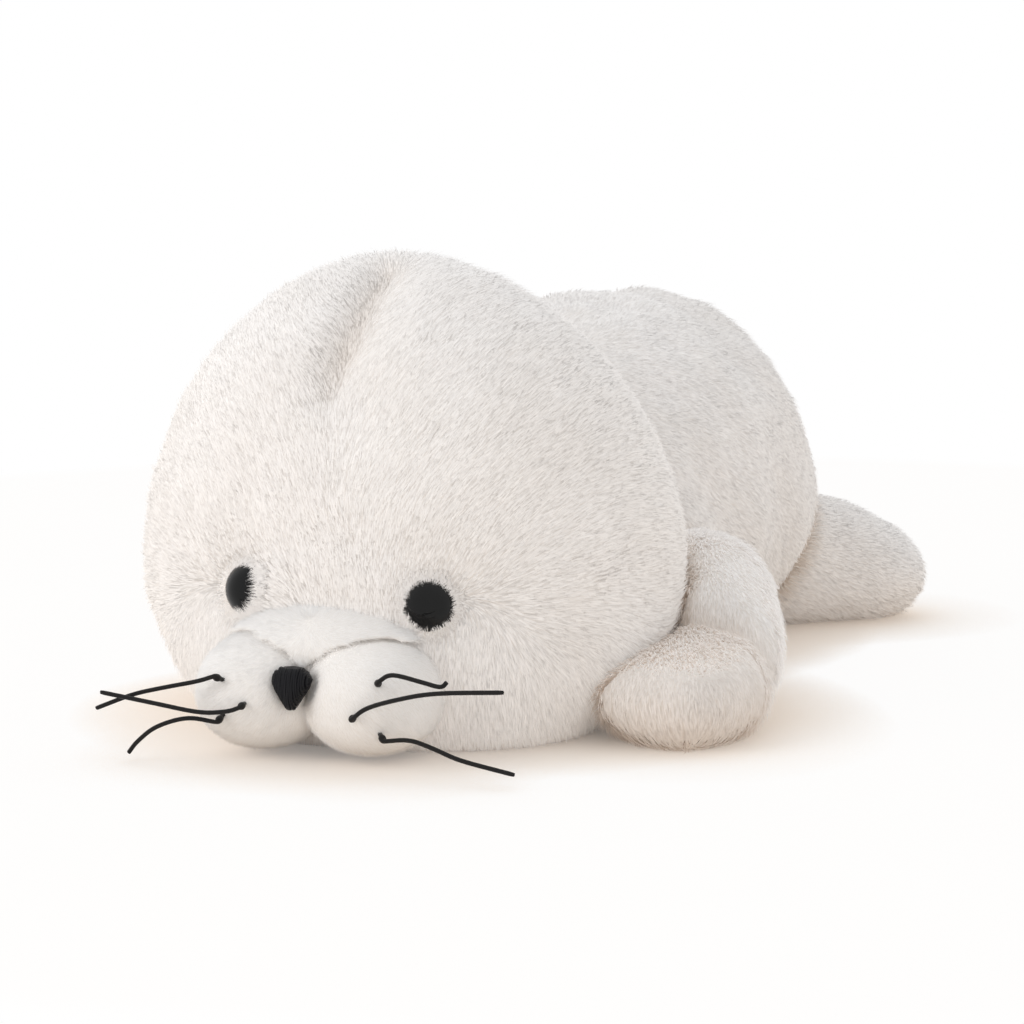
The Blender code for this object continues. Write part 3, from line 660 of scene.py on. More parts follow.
def grow_tree(pattern, density, width, length_share, rise, wander, wander_size, ruffle, seed):
    """A node group that grows fibres on a combed skin."""
    tree = bpy.data.node_groups.new("pile_growth", "GeometryNodeTree")
    tree.interface.new_socket("Geometry", in_out="INPUT", socket_type="NodeSocketGeometry")
    tree.interface.new_socket("Geometry", in_out="OUTPUT", socket_type="NodeSocketGeometry")
    enter = tree.nodes.new("NodeGroupInput")
    leave = tree.nodes.new("NodeGroupOutput")

    def field(name, kind):
        made = add_node(tree, "GeometryNodeInputNamedAttribute", {"data_type": kind}, Name=name)
        return [one for one in made.outputs if one.enabled and one.name == "Attribute"][0]

    def number(operation, first, second):
        return add_node(tree, "ShaderNodeMath", {"operation": operation}, n0=first, n1=second).outputs[0]

    def vector(operation, first, second=(0.0, 0.0, 0.0)):
        made = add_node(tree, "ShaderNodeVectorMath", {"operation": operation}, n0=first, n1=second)
        return made.outputs[0]

    def scaled(first, amount):
        made = add_node(tree, "ShaderNodeVectorMath", {"operation": "SCALE"}, n0=first, Scale=amount)
        return made.outputs[0]

    def spread(reach, offset):
        return chance("FLOAT_VECTOR", (-reach,) * 3, (reach,) * 3, offset)

    def chance(kind, low, high, offset):
        made = add_node(tree, "FunctionNodeRandomValue", {"data_type": kind})
        ins = [one for one in made.inputs if one.enabled]
        ins[0].default_value = low
        ins[1].default_value = high
        [one for one in ins if one.name == "Seed"][0].default_value = seed * 17 + offset
        return [one for one in made.outputs if one.enabled][0]

    scatter = add_node(tree, "GeometryNodeDistributePointsOnFaces", {"distribute_method": "RANDOM"},
                       Mesh=enter.outputs[0], Seed=seed)
    tree.links.new(number("MULTIPLY", field("cover", "FLOAT"), density), scatter.inputs["Density"])
    keep = add_node(tree, "GeometryNodeStoreNamedAttribute", {"data_type": "FLOAT_VECTOR", "domain": "POINT"},
                    Geometry=scatter.outputs["Points"], Name="cloth_normal", Value=scatter.outputs["Normal"])
    normal = field("cloth_normal", "FLOAT_VECTOR")
    place = add_node(tree, "GeometryNodeInputPosition").outputs[0]
    locks = add_node(tree, "ShaderNodeTexNoise", {"noise_dimensions": "3D"},
                     Vector=place, Scale=1.0 / wander_size, Detail=WANDER_DETAIL)
    slow = scaled(vector("SUBTRACT", locks.outputs["Color"], (0.5, 0.5, 0.5)), wander * 2.0)
    quick = spread(ruffle, 1)
    lift = scaled(normal, number("MULTIPLY", field("stand", "FLOAT"), rise))
    way = vector("ADD", field("nap", "FLOAT_VECTOR"), lift)
    way = vector("NORMALIZE", vector("ADD", way, vector("ADD", slow, quick)))
    facing = vector("ADD", normal, spread(FACING_SPREAD, 2))
    turn = add_node(tree, "FunctionNodeAxesToRotation", {"primary_axis": "Z", "secondary_axis": "Y"},
                    n0=way, n1=facing)
    length = number("MULTIPLY", field("pile", "FLOAT"),
                    chance("FLOAT", LENGTHS[0] * length_share, LENGTHS[1] * length_share, 3))
    breadth = number("MULTIPLY", chance("FLOAT", *BREADTHS, 4), width)
    size = add_node(tree, "ShaderNodeCombineXYZ", X=breadth, Y=length, Z=length)
    blade = add_node(tree, "GeometryNodeObjectInfo", {"transform_space": "ORIGINAL"}, Object=pattern)
    grown = add_node(tree, "GeometryNodeInstanceOnPoints", Points=keep.outputs[0],
                     Instance=blade.outputs["Geometry"], Rotation=turn.outputs[0], Scale=size.outputs[0])
    tint = add_node(tree, "GeometryNodeStoreNamedAttribute", {"data_type": "FLOAT", "domain": "INSTANCE"},
                    Geometry=grown.outputs[0], Name="tone", Value=chance("FLOAT", 0.0, 1.0, 5))
    lean = vector("NORMALIZE", vector("ADD", field("cloth_normal", "FLOAT_VECTOR"), spread(LIE_SPREAD, 6)))
    light = add_node(tree, "GeometryNodeStoreNamedAttribute",
                     {"data_type": "FLOAT_VECTOR", "domain": "INSTANCE"},
                     Geometry=tint.outputs[0], Name="lie", Value=lean)
    real = add_node(tree, "GeometryNodeRealizeInstances", Geometry=light.outputs[0])
    reached = add_node(tree, "GeometryNodeInputPosition").outputs[0]
    spot = add_node(tree, "ShaderNodeSeparateXYZ", Vector=reached)
    above = add_node(tree, "ShaderNodeCombineXYZ", X=spot.outputs["X"], Y=spot.outputs["Y"],
                     Z=number("MAXIMUM", spot.outputs["Z"], LAID_AT))
    laid = add_node(tree, "GeometryNodeSetPosition", Geometry=real.outputs[0], Position=above.outputs[0])
    tree.links.new(laid.outputs[0], leave.inputs[0])
    return tree


# %% A coat on a skin
def grow_pile(name, skin, material, density, width, pattern=bowed_fibre, length_share=1.0, rise=0.45,
              wander=0.30, wander_size=9 * MM, ruffle=0.16, seed=1):
    """A coat of fibres on a combed skin, as a mesh of its own."""
    coat = link_object(name, skin.data.copy())
    growth = coat.modifiers.new("growth", "NODES")
    growth.node_group = grow_tree(pattern, density, width, length_share, rise, wander, wander_size,
                                  ruffle, seed)
    applied(coat)
    coat.visible_shadow = False
    coat.visible_diffuse = False
    coat.data.materials.clear()
    coat.data.materials.append(material)
    for spare in ("nap", "pile", "cover", "stand", "cloth_normal"):
        if spare in coat.data.attributes:
            coat.data.attributes.remove(coat.data.attributes[spare])
    print(name, "triangles", len(coat.data.polygons))
    return coat


# %% Skin and coats in the frame
def dress(skin, coats, node, backing=plush_backing):
    """Rides a skin and its coats, and lets the skin stand for its solid."""
    skin.data.materials.clear()
    skin.data.materials.append(backing)
    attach(skin, "root")
    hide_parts(node)
    for coat in coats:
        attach(coat, "root")

# %% [markdown]
# ## Head
#
# The head is the toy's face and takes most of the care. Its pile fans out from the muzzle: up
# and outwards over the forehead, level round the cheek, and down under the eyes, and it turns
# from one to the other in a whorl beside each eye.

# %% Eye places, from the eye solids
EYE_LOOKS_OUT = math.radians(21.0)
EYE_DOME = 5.8 * MM
EYE_RADIUS = 8.0 * MM
EYE_NODES = ((1, "eye_left"), (-1, "eye_right"))


def eye_axis(side):
    return head_turn @ Vector((side * math.sin(EYE_LOOKS_OUT), -math.cos(EYE_LOOKS_OUT), 0.0))


def eye_place(node, side):
    """The middle of an eye's rim, found back from the top of its dome."""
    axis = eye_axis(side)
    tip = max((vertex.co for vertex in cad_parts[node].data.vertices), key=lambda spot: spot.dot(axis))
    return tip - axis * EYE_DOME


eyes = {side: (eye_place(node, side), eye_axis(side)) for side, node in EYE_NODES}
print("eyes", {side: [round(part, 4) for part in spot] for side, (spot, _) in eyes.items()})

# %% [markdown]
# The head's solid has seats for the eyes and hollows for their washers. A remesh would pinch
# the cloth there, so these faces are taken out and the holes closed before the skin is made.

# %% Head skin
EYE_SEAT_REACH = 25 * MM
EYE_SEAT_WIDER = 1.2 * MM


def fill_eye_seats(bm):
    """Takes the eye seats and the hollows behind them out of the head's surface."""
    doomed = []
    for face in bm.faces:
        middle = face.calc_center_median()
        for spot, axis in eyes.values():
            off = middle - spot
            aside = (off - axis * off.dot(axis)).length
            if aside < EYE_RADIUS + EYE_SEAT_WIDER and off.length < EYE_SEAT_REACH:
                doomed.append(face)
                break
    bmesh.ops.delete(bm, geom=doomed, context="FACES")
    bmesh.ops.holes_fill(bm, edges=bm.edges[:], sides=0)
    bmesh.ops.recalc_face_normals(bm, faces=bm.faces[:])


MUZZLE = ("muzzle_pad_left", "muzzle_pad_right", "muzzle_bridge")
bm = joined_copy("head")
fill_eye_seats(bm)
head_skin = stuffed_skin("head_skin", bm, ("body", *MUZZLE), PILE_STANDS, SWELL_ROOM,
                         joints=("body", "front_flipper_left", "front_flipper_right"))

# %% [markdown]
# Two seams cross the head. The brow seam runs from the crown down to between the eyes and
# sinks the most. The rear seam joins the face to the back panel and is only a shallow line.
# Both are pressed into the finished skin, because a remesh would lose them.

# %% Head seams
BROW_SEAM = ((402, 262), (388, 280), (372, 306), (356, 338), (342, 372), (331, 408), (325, 440))
BROW_DEPTH = 3.4 * MM
BROW_WIDTH = 3.4 * MM
# Painted shade along the brow seam, narrower than its groove.
BROW_PAINTED_SHADE = 0.5
BROW_PAINTED_SHADE_WIDTH = 0.6 * BROW_WIDTH
BROW_FADES_FROM = 0.55
REAR_SEAM_AT = 16 * MM
REAR_DEPTH = 1.0 * MM
REAR_WIDTH = 6.0 * MM

head_tree = BVHTree.FromObject(head_skin, bpy.context.evaluated_depsgraph_get())
brow_line = [seen_on(head_tree, *spot) for spot in BROW_SEAM]
brow_line = [spot for spot in brow_line if spot is not None]
print("brow seam", [[round(part * 1000) for part in spot - head_spot] for spot in brow_line])


def from_line(place, line):
    """How far a place is from a line of points, which way, and how far along the line it is."""
    best = (1.0, Vector(), 0.0)
    for index, (start, end) in enumerate(zip(line, line[1:])):
        near, share = intersect_point_line(place, start, end)
        share = min(1.0, max(0.0, share))
        near = start.lerp(end, share)
        off = place - near
        if off.length < best[0]:
            best = (off.length, off, (index + share) / (len(line) - 1))
    return best


def in_head(place):
    """A place in the head's own directions, from the floor under its middle."""
    return head_turn.inverted() @ (place - head_spot)


def press_seams(skin):
    normals = [vertex.normal.copy() for vertex in skin.data.vertices]
    joints = skin.data.attributes["painted_shade"].data
    for vertex, normal in zip(skin.data.vertices, normals):
        away, _, along = from_line(vertex.co, brow_line)
        fade = smooth_share(1.0, BROW_FADES_FROM, along)
        sink = BROW_DEPTH * fade * math.exp(-(away / BROW_WIDTH) ** 2)
        # Painted shade along the brow seam.
        tint = BROW_PAINTED_SHADE * fade * math.exp(-(away / BROW_PAINTED_SHADE_WIDTH) ** 2)
        joints[vertex.index].value = max(joints[vertex.index].value, tint)
        sink += REAR_DEPTH * math.exp(-((in_head(vertex.co).y - REAR_SEAM_AT) / REAR_WIDTH) ** 2)
        vertex.co -= normal * sink


press_seams(head_skin)

# %% [markdown]
# The strokes below are read off the toy as it is seen: across and down in the picture, then
# the direction of the nap, then how many millimetres the stroke reaches. Strokes on the open
# side of the head are mirrored to the side that is turned away. At the brow seam the pile
# parts, and it is shorter there, near the eyes and at the floor.

# %% Head combing
HEAD_STROKES = (
    (430, 330, 0.62, 0.78, 22), (520, 360, 0.72, 0.70, 22), (420, 430, 0.58, 0.82, 20),
    (520, 460, 0.75, 0.65, 22), (600, 420, 0.88, 0.50, 20), (480, 530, 0.50, 0.86, 12),
    (560, 540, 0.92, 0.40, 18), (640, 520, 1.00, 0.10, 20), (660, 580, 1.00, -0.05, 18),
    (560, 612, 1.00, 0.00, 12), (600, 660, 0.75, -0.65, 16), (560, 700, 0.40, -0.92, 16),
    (500, 680, 0.05, -1.00, 14), (470, 645, -0.10, -1.00, 8), (400, 560, 0.25, 0.97, 10),
)
FACE_STROKES = (
    (360, 600, -0.05, 1.00, 10), (320, 560, -0.35, 0.93, 10), (278, 600, -0.95, 0.20, 6),
    (272, 570, -0.90, 0.45, 6),
)
HEAD_PILE = 8.0 * MM
EYE_PILE = 4.2 * MM
FOOT_PILE = 3.0 * MM
SEAM_PILE = 3.6 * MM
SEAM_PART = 9.0 * MM
PART_SHARE = 0.7
PILE_PER_GAP = 0.35
PILE_PER_HEIGHT = 0.5
BARE_RIM = 0.6 * MM
REAR_LIES = 0.45
RUFF_RISES = 0.5
HEAD_FIBRES = 0.85e6
HEAD_FIBRE_WIDTH = 0.36 * MM
HEAD_DOWN = 2.4e6
DOWN_WIDTH = 0.55 * MM
DOWN_LENGTH = 0.8

mirror_turn = head_turn @ Matrix.Diagonal((-1.0, 1.0, 1.0)) @ head_turn.inverted()


def mirrored(spot, way):
    return head_spot + mirror_turn @ (spot - head_spot), mirror_turn @ way

# %% Head strokes on the head itself
head_strokes = []
for across, down, right, upward, reach in HEAD_STROKES + FACE_STROKES:
    spot = seen_on(head_tree, across, down)
    if spot is None:
        print("stroke misses", across, down)
        continue
    way = seen_way(right, upward)
    head_strokes.append((spot, way, reach * MM))
    if (across, down, right, upward, reach) in HEAD_STROKES:
        head_strokes.append((*mirrored(spot, way), reach * MM))

muzzle_low, muzzle_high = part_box("muzzle_bridge")
muzzle_middle = (muzzle_low + muzzle_high) / 2.0
print("head strokes", len(head_strokes))


# %% Nap, length and rise over the head
def head_nap(place, normal):
    way = stroke_blend(head_strokes, place, (place - muzzle_middle).normalized())
    away, off, along = from_line(place, brow_line)
    part = math.exp(-(away / SEAM_PART) ** 2) * smooth_share(1.0, 0.5, along)
    if off.length > 1e-6:
        way = way.normalized() * (1.0 - part * PART_SHARE) + off.normalized() * part
    return way


def near_eye(place):
    return min((place - spot).length for spot, _ in eyes.values())


def head_length(place):
    length = min(HEAD_PILE, EYE_PILE + max(0.0, near_eye(place) - EYE_RADIUS) * PILE_PER_GAP)
    away, _, along = from_line(place, brow_line)
    part = math.exp(-(away / BROW_WIDTH) ** 2) * smooth_share(1.0, BROW_FADES_FROM, along)
    length += (SEAM_PILE - length) * part
    return max(FOOT_PILE, min(length, FOOT_PILE + place.z * PILE_PER_HEIGHT))


def head_cover(place):
    return 0.0 if near_eye(place) < EYE_RADIUS + BARE_RIM else 1.0


def head_stand(place):
    rear = smooth_share(REAR_SEAM_AT - 2 * MM, REAR_SEAM_AT + 6 * MM, in_head(place).y)
    ruff = smooth_share(EYE_RADIUS + 5 * MM, EYE_RADIUS + 1 * MM, near_eye(place))
    return 1.0 - REAR_LIES * rear + RUFF_RISES * ruff


comb(head_skin, head_nap, head_length, head_cover, head_stand)
head_coats = [grow_pile("head_pile_" + part, head_skin, plush_pile, HEAD_FIBRES, HEAD_FIBRE_WIDTH,
                        wander=0.22, ruffle=0.12, seed=seed)
              for part, seed in (("a", 3), ("b", 4))]
head_coats.append(grow_pile("head_undercoat", head_skin, plush_pile, HEAD_DOWN, DOWN_WIDTH, down_fibre,
                            DOWN_LENGTH, seed=5))

# %% [markdown]
# Round each eye the finest fibres lean in over its rim, so that the eye looks set into the
# fur. They are a coat of their own, combed again towards the eye, and are longest on the side
# that faces the nose.

# %% Eye ruffs
RUFF_REACH = 2.4 * MM
RUFF_PILE = 3.0 * MM
RUFF_LONG_PILE = 5.2 * MM
RUFF_STANDS = 2.4
RUFF_FIBRES = 14.0e6
RUFF_FIBRE_WIDTH = 0.16 * MM
RUFF_LONG_RIGHT_OF = 20 * MM


def eye_off(place):
    """From the nearer eye to a place, and how much of it points to the middle of the face."""
    spot, _ = min(eyes.values(), key=lambda eye: (place - eye[0]).length)
    off = place - spot
    inner = off.dot(muzzle_middle - spot) / max(1e-9, off.length * (muzzle_middle - spot).length)
    return off, inner


def ruff_nap(place, normal):
    return -eye_off(place)[0]


def ruff_length(place):
    off, inner = eye_off(place)
    longer = smooth_share(-0.2, 0.8, inner) if place.x < RUFF_LONG_RIGHT_OF else 0.0
    return RUFF_PILE + (RUFF_LONG_PILE - RUFF_PILE) * longer


def ruff_cover(place):
    gap = near_eye(place) - EYE_RADIUS
    return 1.0 if -0.2 * MM < gap < RUFF_REACH else 0.0


comb(head_skin, ruff_nap, ruff_length, ruff_cover, lambda place: RUFF_STANDS)
head_coats.append(grow_pile("eye_ruffs", head_skin, plush_pile, RUFF_FIBRES, RUFF_FIBRE_WIDTH,
                            wander=0.35, wander_size=2 * MM, ruffle=0.35, seed=12))
dress(head_skin, head_coats, "head")

# %% [markdown]
# ## Muzzle
#
# The two whisker pads and the bridge over the nose are cut from a cloth with a pile of only a
# millimetre or two, so they look smooth and their seams show. They are stuffed skins like the
# rest, on a finer grid, with a close fuzz. The fuzz is longest at the bridge's edges, where it
# softens the seams.

# %% Muzzle
SHORT_VOXEL = 1.7 * MM
SHORT_STANDS = 0.3 * MM
SHORT_SWELL = 0.6 * MM
SHORT_PILE = 2.0 * MM
SHORT_FREE_BEYOND = 4.0 * MM
BRIDGE_EDGE_PILE = 3.4 * MM
EDGE_FROM = 3.5 * MM
EDGE_TO = 0.5 * MM
FUZZ_FIBRES = 9.0e6
FUZZ_WIDTH = 0.20 * MM

for node in MUZZLE:
    others = ["head", *(other for other in MUZZLE if other != node)]
    skin = stuffed_skin(node + "_skin", joined_copy(node), others, SHORT_STANDS, SHORT_SWELL, SHORT_VOXEL,
                        SHORT_FREE_BEYOND, joints=())
    edge_pile = BRIDGE_EDGE_PILE if node == "muzzle_bridge" else SHORT_PILE
    around = neighbour_tree(others)

    def short_length(place, edge_pile=edge_pile, around=around):
        near = smooth_share(EDGE_FROM, EDGE_TO, around.find_nearest(place)[3])
        return SHORT_PILE + (edge_pile - SHORT_PILE) * near

    comb(skin, lambda place, normal: place - muzzle_middle, short_length)
    coat = grow_pile(node + "_pile", skin, short_pile, FUZZ_FIBRES, FUZZ_WIDTH, down_fibre, rise=0.65,
                     wander=0.2, wander_size=3 * MM, ruffle=0.3, seed=11)
    dress(skin, [coat], node, short_backing)

# %% [markdown]
# ## Nose
#
# The nose is embroidered: black thread is laid side by side over a small padded heart until it
# is covered. Each row is a thin tube that follows the heart from top to bottom and dives in at
# both ends.


# %% Nose finish
def thread_material(name, colour, roughness, sheen):
    made, tree = new_material(name)
    place = add_node(tree, "ShaderNodeTexCoord")
    wear = add_node(tree, "ShaderNodeTexNoise", Vector=place.outputs["Object"], Scale=1400.0, Detail=3.0)
    lighter = tuple(min(1.0, part * 2.4 + 0.001) for part in colour[:3]) + (1.0,)
    tint = mix_colour(tree, wear.outputs["Fac"], colour, lighter)
    bump = add_node(tree, "ShaderNodeBump", Strength=0.5, Distance=0.00015, Height=wear.outputs["Fac"])
    thread = add_node(tree, "ShaderNodeBsdfPrincipled", Base_Color=tint, Roughness=roughness,
                      Specular_IOR_Level=0.22, Sheen_Weight=sheen, Sheen_Roughness=0.4,
                      Normal=bump.outputs[0])
    surface(tree, thread.outputs[0])
    return made


nose_thread = thread_material("nose_thread", (0.002, 0.002, 0.003, 1.0), 0.45, 0.02)
waxed_thread = thread_material("waxed_thread", (0.004, 0.0035, 0.0035, 1.0), 0.50, 0.01)

# %% Nose
NOSE_ROWS = 20
NOSE_STEPS = 14
NOSE_DIVE = 1.0 * MM
NOSE_SHOWS = 0.85
NOSE_OVERLAP = 0.62
NOSE_PAD_INSET = 0.25 * MM
NOSE_LOOK_FROM = 20 * MM

face_way = head_turn @ Vector((0.0, -1.0, 0.0))
side_way = head_turn @ Vector((1.0, 0.0, 0.0))
nose_tree = neighbour_tree(("nose",))
nose_low, nose_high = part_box("nose")
nose_middle = (nose_low + nose_high) / 2.0
nose_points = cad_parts["nose"].data.vertices
nose_span = max(abs((vertex.co - nose_middle).dot(side_way)) for vertex in nose_points)
nose_row = 2.0 * nose_span / NOSE_ROWS
nose_rows = []


def drawn_in(place):
    """Draws the stitching in from the side where the left pad swells over it."""
    edge = (nose_middle - side_way * nose_span).dot(side_way)
    return place - side_way * (place.dot(side_way) - edge) * (1.0 - NOSE_SHOWS)


for row in range(NOSE_ROWS):
    aside = (row + 0.5 - NOSE_ROWS / 2.0) * nose_row
    hits = []
    for step in range(NOSE_STEPS + 1):
        rise = nose_low.z + (nose_high.z - nose_low.z) * step / NOSE_STEPS
        start = nose_middle + side_way * (aside + 0.12 * nose_row * math.sin(row * 2.3 + step * 0.4))
        start = Vector((start.x, start.y, rise)) + face_way * NOSE_LOOK_FROM
        hit = nose_tree.ray_cast(start, -face_way, 2.0 * NOSE_LOOK_FROM)[0]
        if hit is not None:
            hits.append(hit)
    if len(hits) > 2:
        nose_rows.append([drawn_in(place) for place in
                          (hits[0] - face_way * NOSE_DIVE, *hits, hits[-1] - face_way * NOSE_DIVE)])

# %% [markdown]
# The rows become round threads by a curve's bevel. Under them lies the heart itself, set in a
# little, so that no light shows between two rows.


# %% Nose stitching
def threads(name, lines, radius):
    """Round threads along lines of points, as one mesh."""
    curve = bpy.data.curves.new(name, "CURVE")
    curve.dimensions = "3D"
    curve.bevel_depth = radius
    curve.bevel_resolution = 1
    curve.use_fill_caps = True
    for line in lines:
        spline = curve.splines.new("POLY")
        spline.points.add(len(line) - 1)
        for point, place in zip(spline.points, line):
            point.co = (*place, 1.0)
    made = bpy.data.objects.new(name, curve)
    bpy.context.scene.collection.objects.link(made)
    graph = bpy.context.evaluated_depsgraph_get()
    mesh = bpy.data.meshes.new_from_object(made.evaluated_get(graph), depsgraph=graph)
    bpy.data.objects.remove(made)
    return mesh


bm = bmesh.new()
bm.from_mesh(threads("nose_rows", nose_rows, nose_row * NOSE_OVERLAP))
pad = joined_copy("nose")
for vertex in pad.verts:
    vertex.co = drawn_in(vertex.co - vertex.normal * NOSE_PAD_INSET)
pad_mesh = bpy.data.meshes.new("nose_pad")
pad.to_mesh(pad_mesh)
pad.free()
bm.from_mesh(pad_mesh)
mesh = bpy.data.meshes.new("nose_stitching")
bm.to_mesh(mesh)
bm.free()
nose = link_object("nose_stitching", mesh)
mesh.shade_smooth()
mesh.materials.append(nose_thread)
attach(nose, "root")
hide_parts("nose")
print("nose rows", len(nose_rows))

# %% [markdown]
# ## Eyes
#
# A safety eye is one glossy moulding: a dome, a flat back and a shank that the washer grips
# inside the head. A squashed ball would do for the dome, but it has no crisp rim and no shank.
# The moulding is turned, so its half profile is spun once round the eye's axis.

# %% Eyes
EYE_STEPS = 64
DOME_STEPS = 18
SHANK_RADIUS = 2.0 * MM
SHANK_LENGTH = 12.0 * MM
SHANK_POINT = 1.0 * MM
RIM_THICK = 0.8 * MM
RIM_DRAWS_IN = 0.3 * MM


def eye_material():
    made, tree = new_material("eye_plastic")
    place = add_node(tree, "ShaderNodeTexCoord")
    haze = add_node(tree, "ShaderNodeTexNoise", Vector=place.outputs["Object"], Scale=220.0, Detail=3.0)
    rough = add_node(tree, "ShaderNodeMapRange", Value=haze.outputs["Fac"], To_Min=0.05, To_Max=0.10)
    tint = mix_colour(tree, haze.outputs["Fac"], (0.001, 0.001, 0.001, 1.0), (0.003, 0.003, 0.003, 1.0))
    plastic = add_node(tree, "ShaderNodeBsdfPrincipled", Base_Color=tint, Roughness=rough.outputs[0],
                       Specular_IOR_Level=0.25)
    surface(tree, plastic.outputs[0])
    return made


eye_plastic = eye_material()
dome_radius = (EYE_RADIUS ** 2 + EYE_DOME ** 2) / (2.0 * EYE_DOME)
dome_sweep = math.asin(EYE_RADIUS / dome_radius)
for side, node in EYE_NODES:
    spot, axis = eyes[side]
    bm = bmesh.new()
    outline = [(dome_radius * math.sin(dome_sweep * step / DOME_STEPS),
                EYE_DOME - dome_radius * (1.0 - math.cos(dome_sweep * step / DOME_STEPS)))
               for step in range(DOME_STEPS + 1)]
    outline += [(EYE_RADIUS - RIM_DRAWS_IN, -RIM_THICK), (SHANK_RADIUS, -RIM_THICK),
                (SHANK_RADIUS, -SHANK_LENGTH), (0.0, -SHANK_LENGTH - SHANK_POINT)]
    row = [bm.verts.new((reach, 0.0, height)) for reach, height in outline]
    for first, second in zip(row, row[1:]):
        bm.edges.new((first, second))
    bmesh.ops.spin(bm, geom=bm.verts[:] + bm.edges[:], cent=(0, 0, 0), axis=(0, 0, 1), dvec=(0, 0, 0),
                   angle=2.0 * math.pi, steps=EYE_STEPS, use_merge=True)
    bmesh.ops.remove_doubles(bm, verts=bm.verts[:], dist=1e-6)
    bmesh.ops.recalc_face_normals(bm, faces=bm.faces[:])
    turn = axis.to_track_quat("Z", "Y").to_matrix().to_4x4()
    bmesh.ops.transform(bm, matrix=Matrix.Translation(spot) @ turn, verts=bm.verts[:])
    mesh = bpy.data.meshes.new(node + "_dome")
    bm.to_mesh(mesh)
    bm.free()
    dome = link_object(node + "_dome", mesh)
    mesh.shade_smooth()
    mesh.materials.append(eye_plastic)
    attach(dome, "root")
    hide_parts(node)
print("eyes", EYE_STEPS, "steps round")

# %% [markdown]
# ## Whiskers
#
# The whiskers are stiff waxed thread, knotted where they leave the pads. A new tube along a
# curve could replace them, but the solids in the frame already follow the threads, so each
# piece is its solid made smooth.

# %% Whiskers
WHISKERS = [side + "_" + row for side in ("left", "right") for row in ("upper", "middle", "lower")]

for part in WHISKERS:
    node = "whisker_" + part
    bm = joined_copy(node)
    mesh = bpy.data.meshes.new(node + "_thread")
    bm.to_mesh(mesh)
    bm.free()
    thread = link_object(node + "_thread", mesh)
    rounder = thread.modifiers.new("rounder", "SUBSURF")
    rounder.levels = rounder.render_levels = 2
    applied(thread)
    thread.data.shade_smooth()
    thread.data.materials.clear()
    thread.data.materials.append(waxed_thread)
    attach(thread, "root")
    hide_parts(node)

print("whiskers", len(WHISKERS))

# %% [markdown]
# The washers that lock the eyes are hidden inside the head. Their solids need nothing but a
# finish: milky moulded plastic.

# %% Washers inside the head
WASHERS = ("eye_washer_left", "eye_washer_right")

washer_plastic, tree = new_material("washer_plastic")
place = add_node(tree, "ShaderNodeTexCoord")
grain = add_node(tree, "ShaderNodeTexNoise", Vector=place.outputs["Object"], Scale=700.0)
tint = mix_colour(tree, grain.outputs["Fac"], (0.62, 0.62, 0.60, 1.0), (0.70, 0.70, 0.68, 1.0))
plastic = add_node(tree, "ShaderNodeBsdfPrincipled", Base_Color=tint, Roughness=0.45)
surface(tree, plastic.outputs[0])
for node in WASHERS:
    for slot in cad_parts[node].material_slots:
        slot.material = washer_plastic
print("washers", len(WASHERS))

# %% [markdown]
# ## Body
#
# The body is the same cloth over a looser filling, which shows as low upright lumps. They are
# pressed into the finished skin with a smooth noise, because they are too soft to model one by
# one, and a bump in the material would vanish under the pile. The pile runs back and down.

# %% Body
FLIPPERS = ("front_flipper_left", "front_flipper_right", "hind_flipper_left", "hind_flipper_right")
LUMP_SIZE = 15 * MM
LUMP_HEIGHT = 2.2 * MM
LUMPS_UPRIGHT = 0.45
LUMPS_FROM_FLOOR = 15 * MM
BODY_PILE = 6.2 * MM
BODY_FIBRES = 1.1e6
BODY_FIBRE_WIDTH = 0.42 * MM
BODY_DOWN = 2.2e6
BODY_DOWN_WIDTH = 0.60 * MM
BODY_WANDER = {"wander": 0.30, "wander_size": 6 * MM, "ruffle": 0.12}

body_skin = stuffed_skin("body_skin", joined_copy("body"), ("head", *FLIPPERS), PILE_STANDS, SWELL_ROOM)


def make_lumpy(skin):
    """Lets the filling show as low upright lumps under the body's cloth."""
    normals = [vertex.normal.copy() for vertex in skin.data.vertices]
    for vertex, normal in zip(skin.data.vertices, normals):
        spot = Vector((vertex.co.x, vertex.co.y, vertex.co.z * LUMPS_UPRIGHT)) / LUMP_SIZE
        share = smooth_share(0.0, LUMPS_FROM_FLOOR, vertex.co.z)
        vertex.co += normal * LUMP_HEIGHT * noise.noise(spot) * share


make_lumpy(body_skin)


def body_nap(place, normal):
    return Vector((place.x * 3.0, 0.5, -0.45))


def body_length(place):
    return max(FOOT_PILE, min(BODY_PILE, FOOT_PILE + place.z * PILE_PER_HEIGHT))


comb(body_skin, body_nap, body_length)
body_coats = [grow_pile("body_pile", body_skin, plush_pile, BODY_FIBRES, BODY_FIBRE_WIDTH, rise=0.40,
                        seed=6, **BODY_WANDER),
              grow_pile("body_undercoat", body_skin, plush_pile, BODY_DOWN, BODY_DOWN_WIDTH, down_fibre,
                        DOWN_LENGTH, seed=7, **BODY_WANDER)]
dress(body_skin, body_coats, "body")

# %% [markdown]
# ## Flippers
#
# Each flipper is a flat bag of the same cloth, turned and lightly stuffed, so its pile lies
# smoothly from the root to the tip. The front ones fold where the palm starts. The fold is
# pressed into the skin like the head's seams, and shade is painted into the fold and over the
# palm, darkest towards the floor.

# %% Flippers
FLIPPER_PILE = 6.0 * MM
FRINGE_PILE = 8.0 * MM
FOLD_AT = 79 * MM
FOLD_DEPTH = 3.6 * MM
FOLD_WIDTH = 5.4 * MM
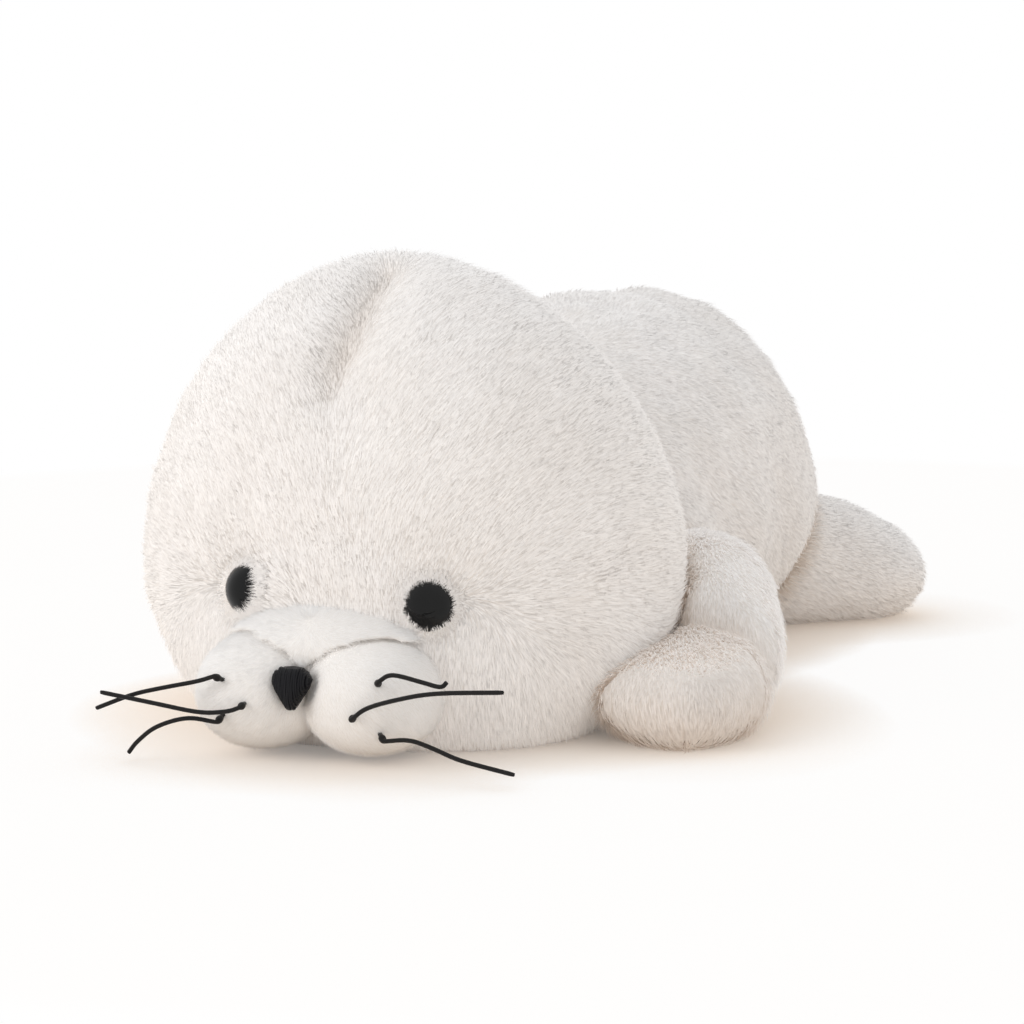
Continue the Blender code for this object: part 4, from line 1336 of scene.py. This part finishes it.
# Painted shade in the fold and over the palm, darkest towards the floor.
FOLD_PAINTED_SHADE = 0.75
PALM_PAINTED_SHADE = 0.40
PALM_FOOT_PAINTED_SHADE = 0.80
FLIPPERS_FAN_FROM = Vector((0.02, 0.06, 0.03))
FRONT_FALL = -1.4
HIND_FALL = -0.35
ARMS = {"front_flipper_left": (Vector((0.0760, 0.0215, 0.0)), Vector((0.0, -1.0, 0.0))),
        "front_flipper_right": (Vector((-0.0360, 0.0215, 0.0)), Vector((-0.883, 0.469, 0.0)))}


def fold_palm(skin, root, way):
    """Presses the fold across the top of a front flipper and paints shade into it and over the palm."""
    normals = [vertex.normal.copy() for vertex in skin.data.vertices]
    joints = skin.data.attributes["painted_shade"].data
    for vertex, normal in zip(skin.data.vertices, normals):
        beyond = (vertex.co - root).dot(way) - FOLD_AT
        foot = smooth_share(26 * MM, 4 * MM, vertex.co.z)
        # Painted shade over the palm, darker towards the floor.
        palm = smooth_share(-4 * MM, 10 * MM, beyond) * (PALM_PAINTED_SHADE + (PALM_FOOT_PAINTED_SHADE - PALM_PAINTED_SHADE) * foot)
        share = math.exp(-(beyond / FOLD_WIDTH) ** 2) * smooth_share(6 * MM, 18 * MM, vertex.co.z)
        vertex.co -= normal * FOLD_DEPTH * share
        joints[vertex.index].value = max(joints[vertex.index].value, FOLD_PAINTED_SHADE * share, palm)


def flipper_length(place):
    return FRINGE_PILE + (FLIPPER_PILE - FRINGE_PILE) * smooth_share(2 * MM, 12 * MM, place.z)


for node in FLIPPERS:
    skin = stuffed_skin(node + "_skin", joined_copy(node), ("body", "head"), PILE_STANDS * 0.8,
                        SWELL_ROOM * 0.5, 3.0 * MM)
    if node in ARMS:
        fold_palm(skin, *ARMS[node])
    fall = FRONT_FALL if node in ARMS else HIND_FALL

    def flipper_nap(place, normal, fall=fall):
        return (place - FLIPPERS_FAN_FROM).normalized() + Vector((0.0, 0.0, fall))

    comb(skin, flipper_nap, flipper_length)
    coats = [grow_pile(node + "_pile", skin, plush_pile, BODY_FIBRES, BODY_FIBRE_WIDTH, wander=0.25,
                       ruffle=0.12, seed=8),
             grow_pile(node + "_undercoat", skin, plush_pile, BODY_DOWN, DOWN_WIDTH, down_fibre,
                       DOWN_LENGTH, wander=0.25, seed=9)]
    dress(skin, coats, node)

# %% [markdown]
# ## Finish
#
# The two blade patterns have done their work and go.

# %% Finish
for pattern in (bowed_fibre, down_fibre):
    bpy.data.objects.remove(pattern)
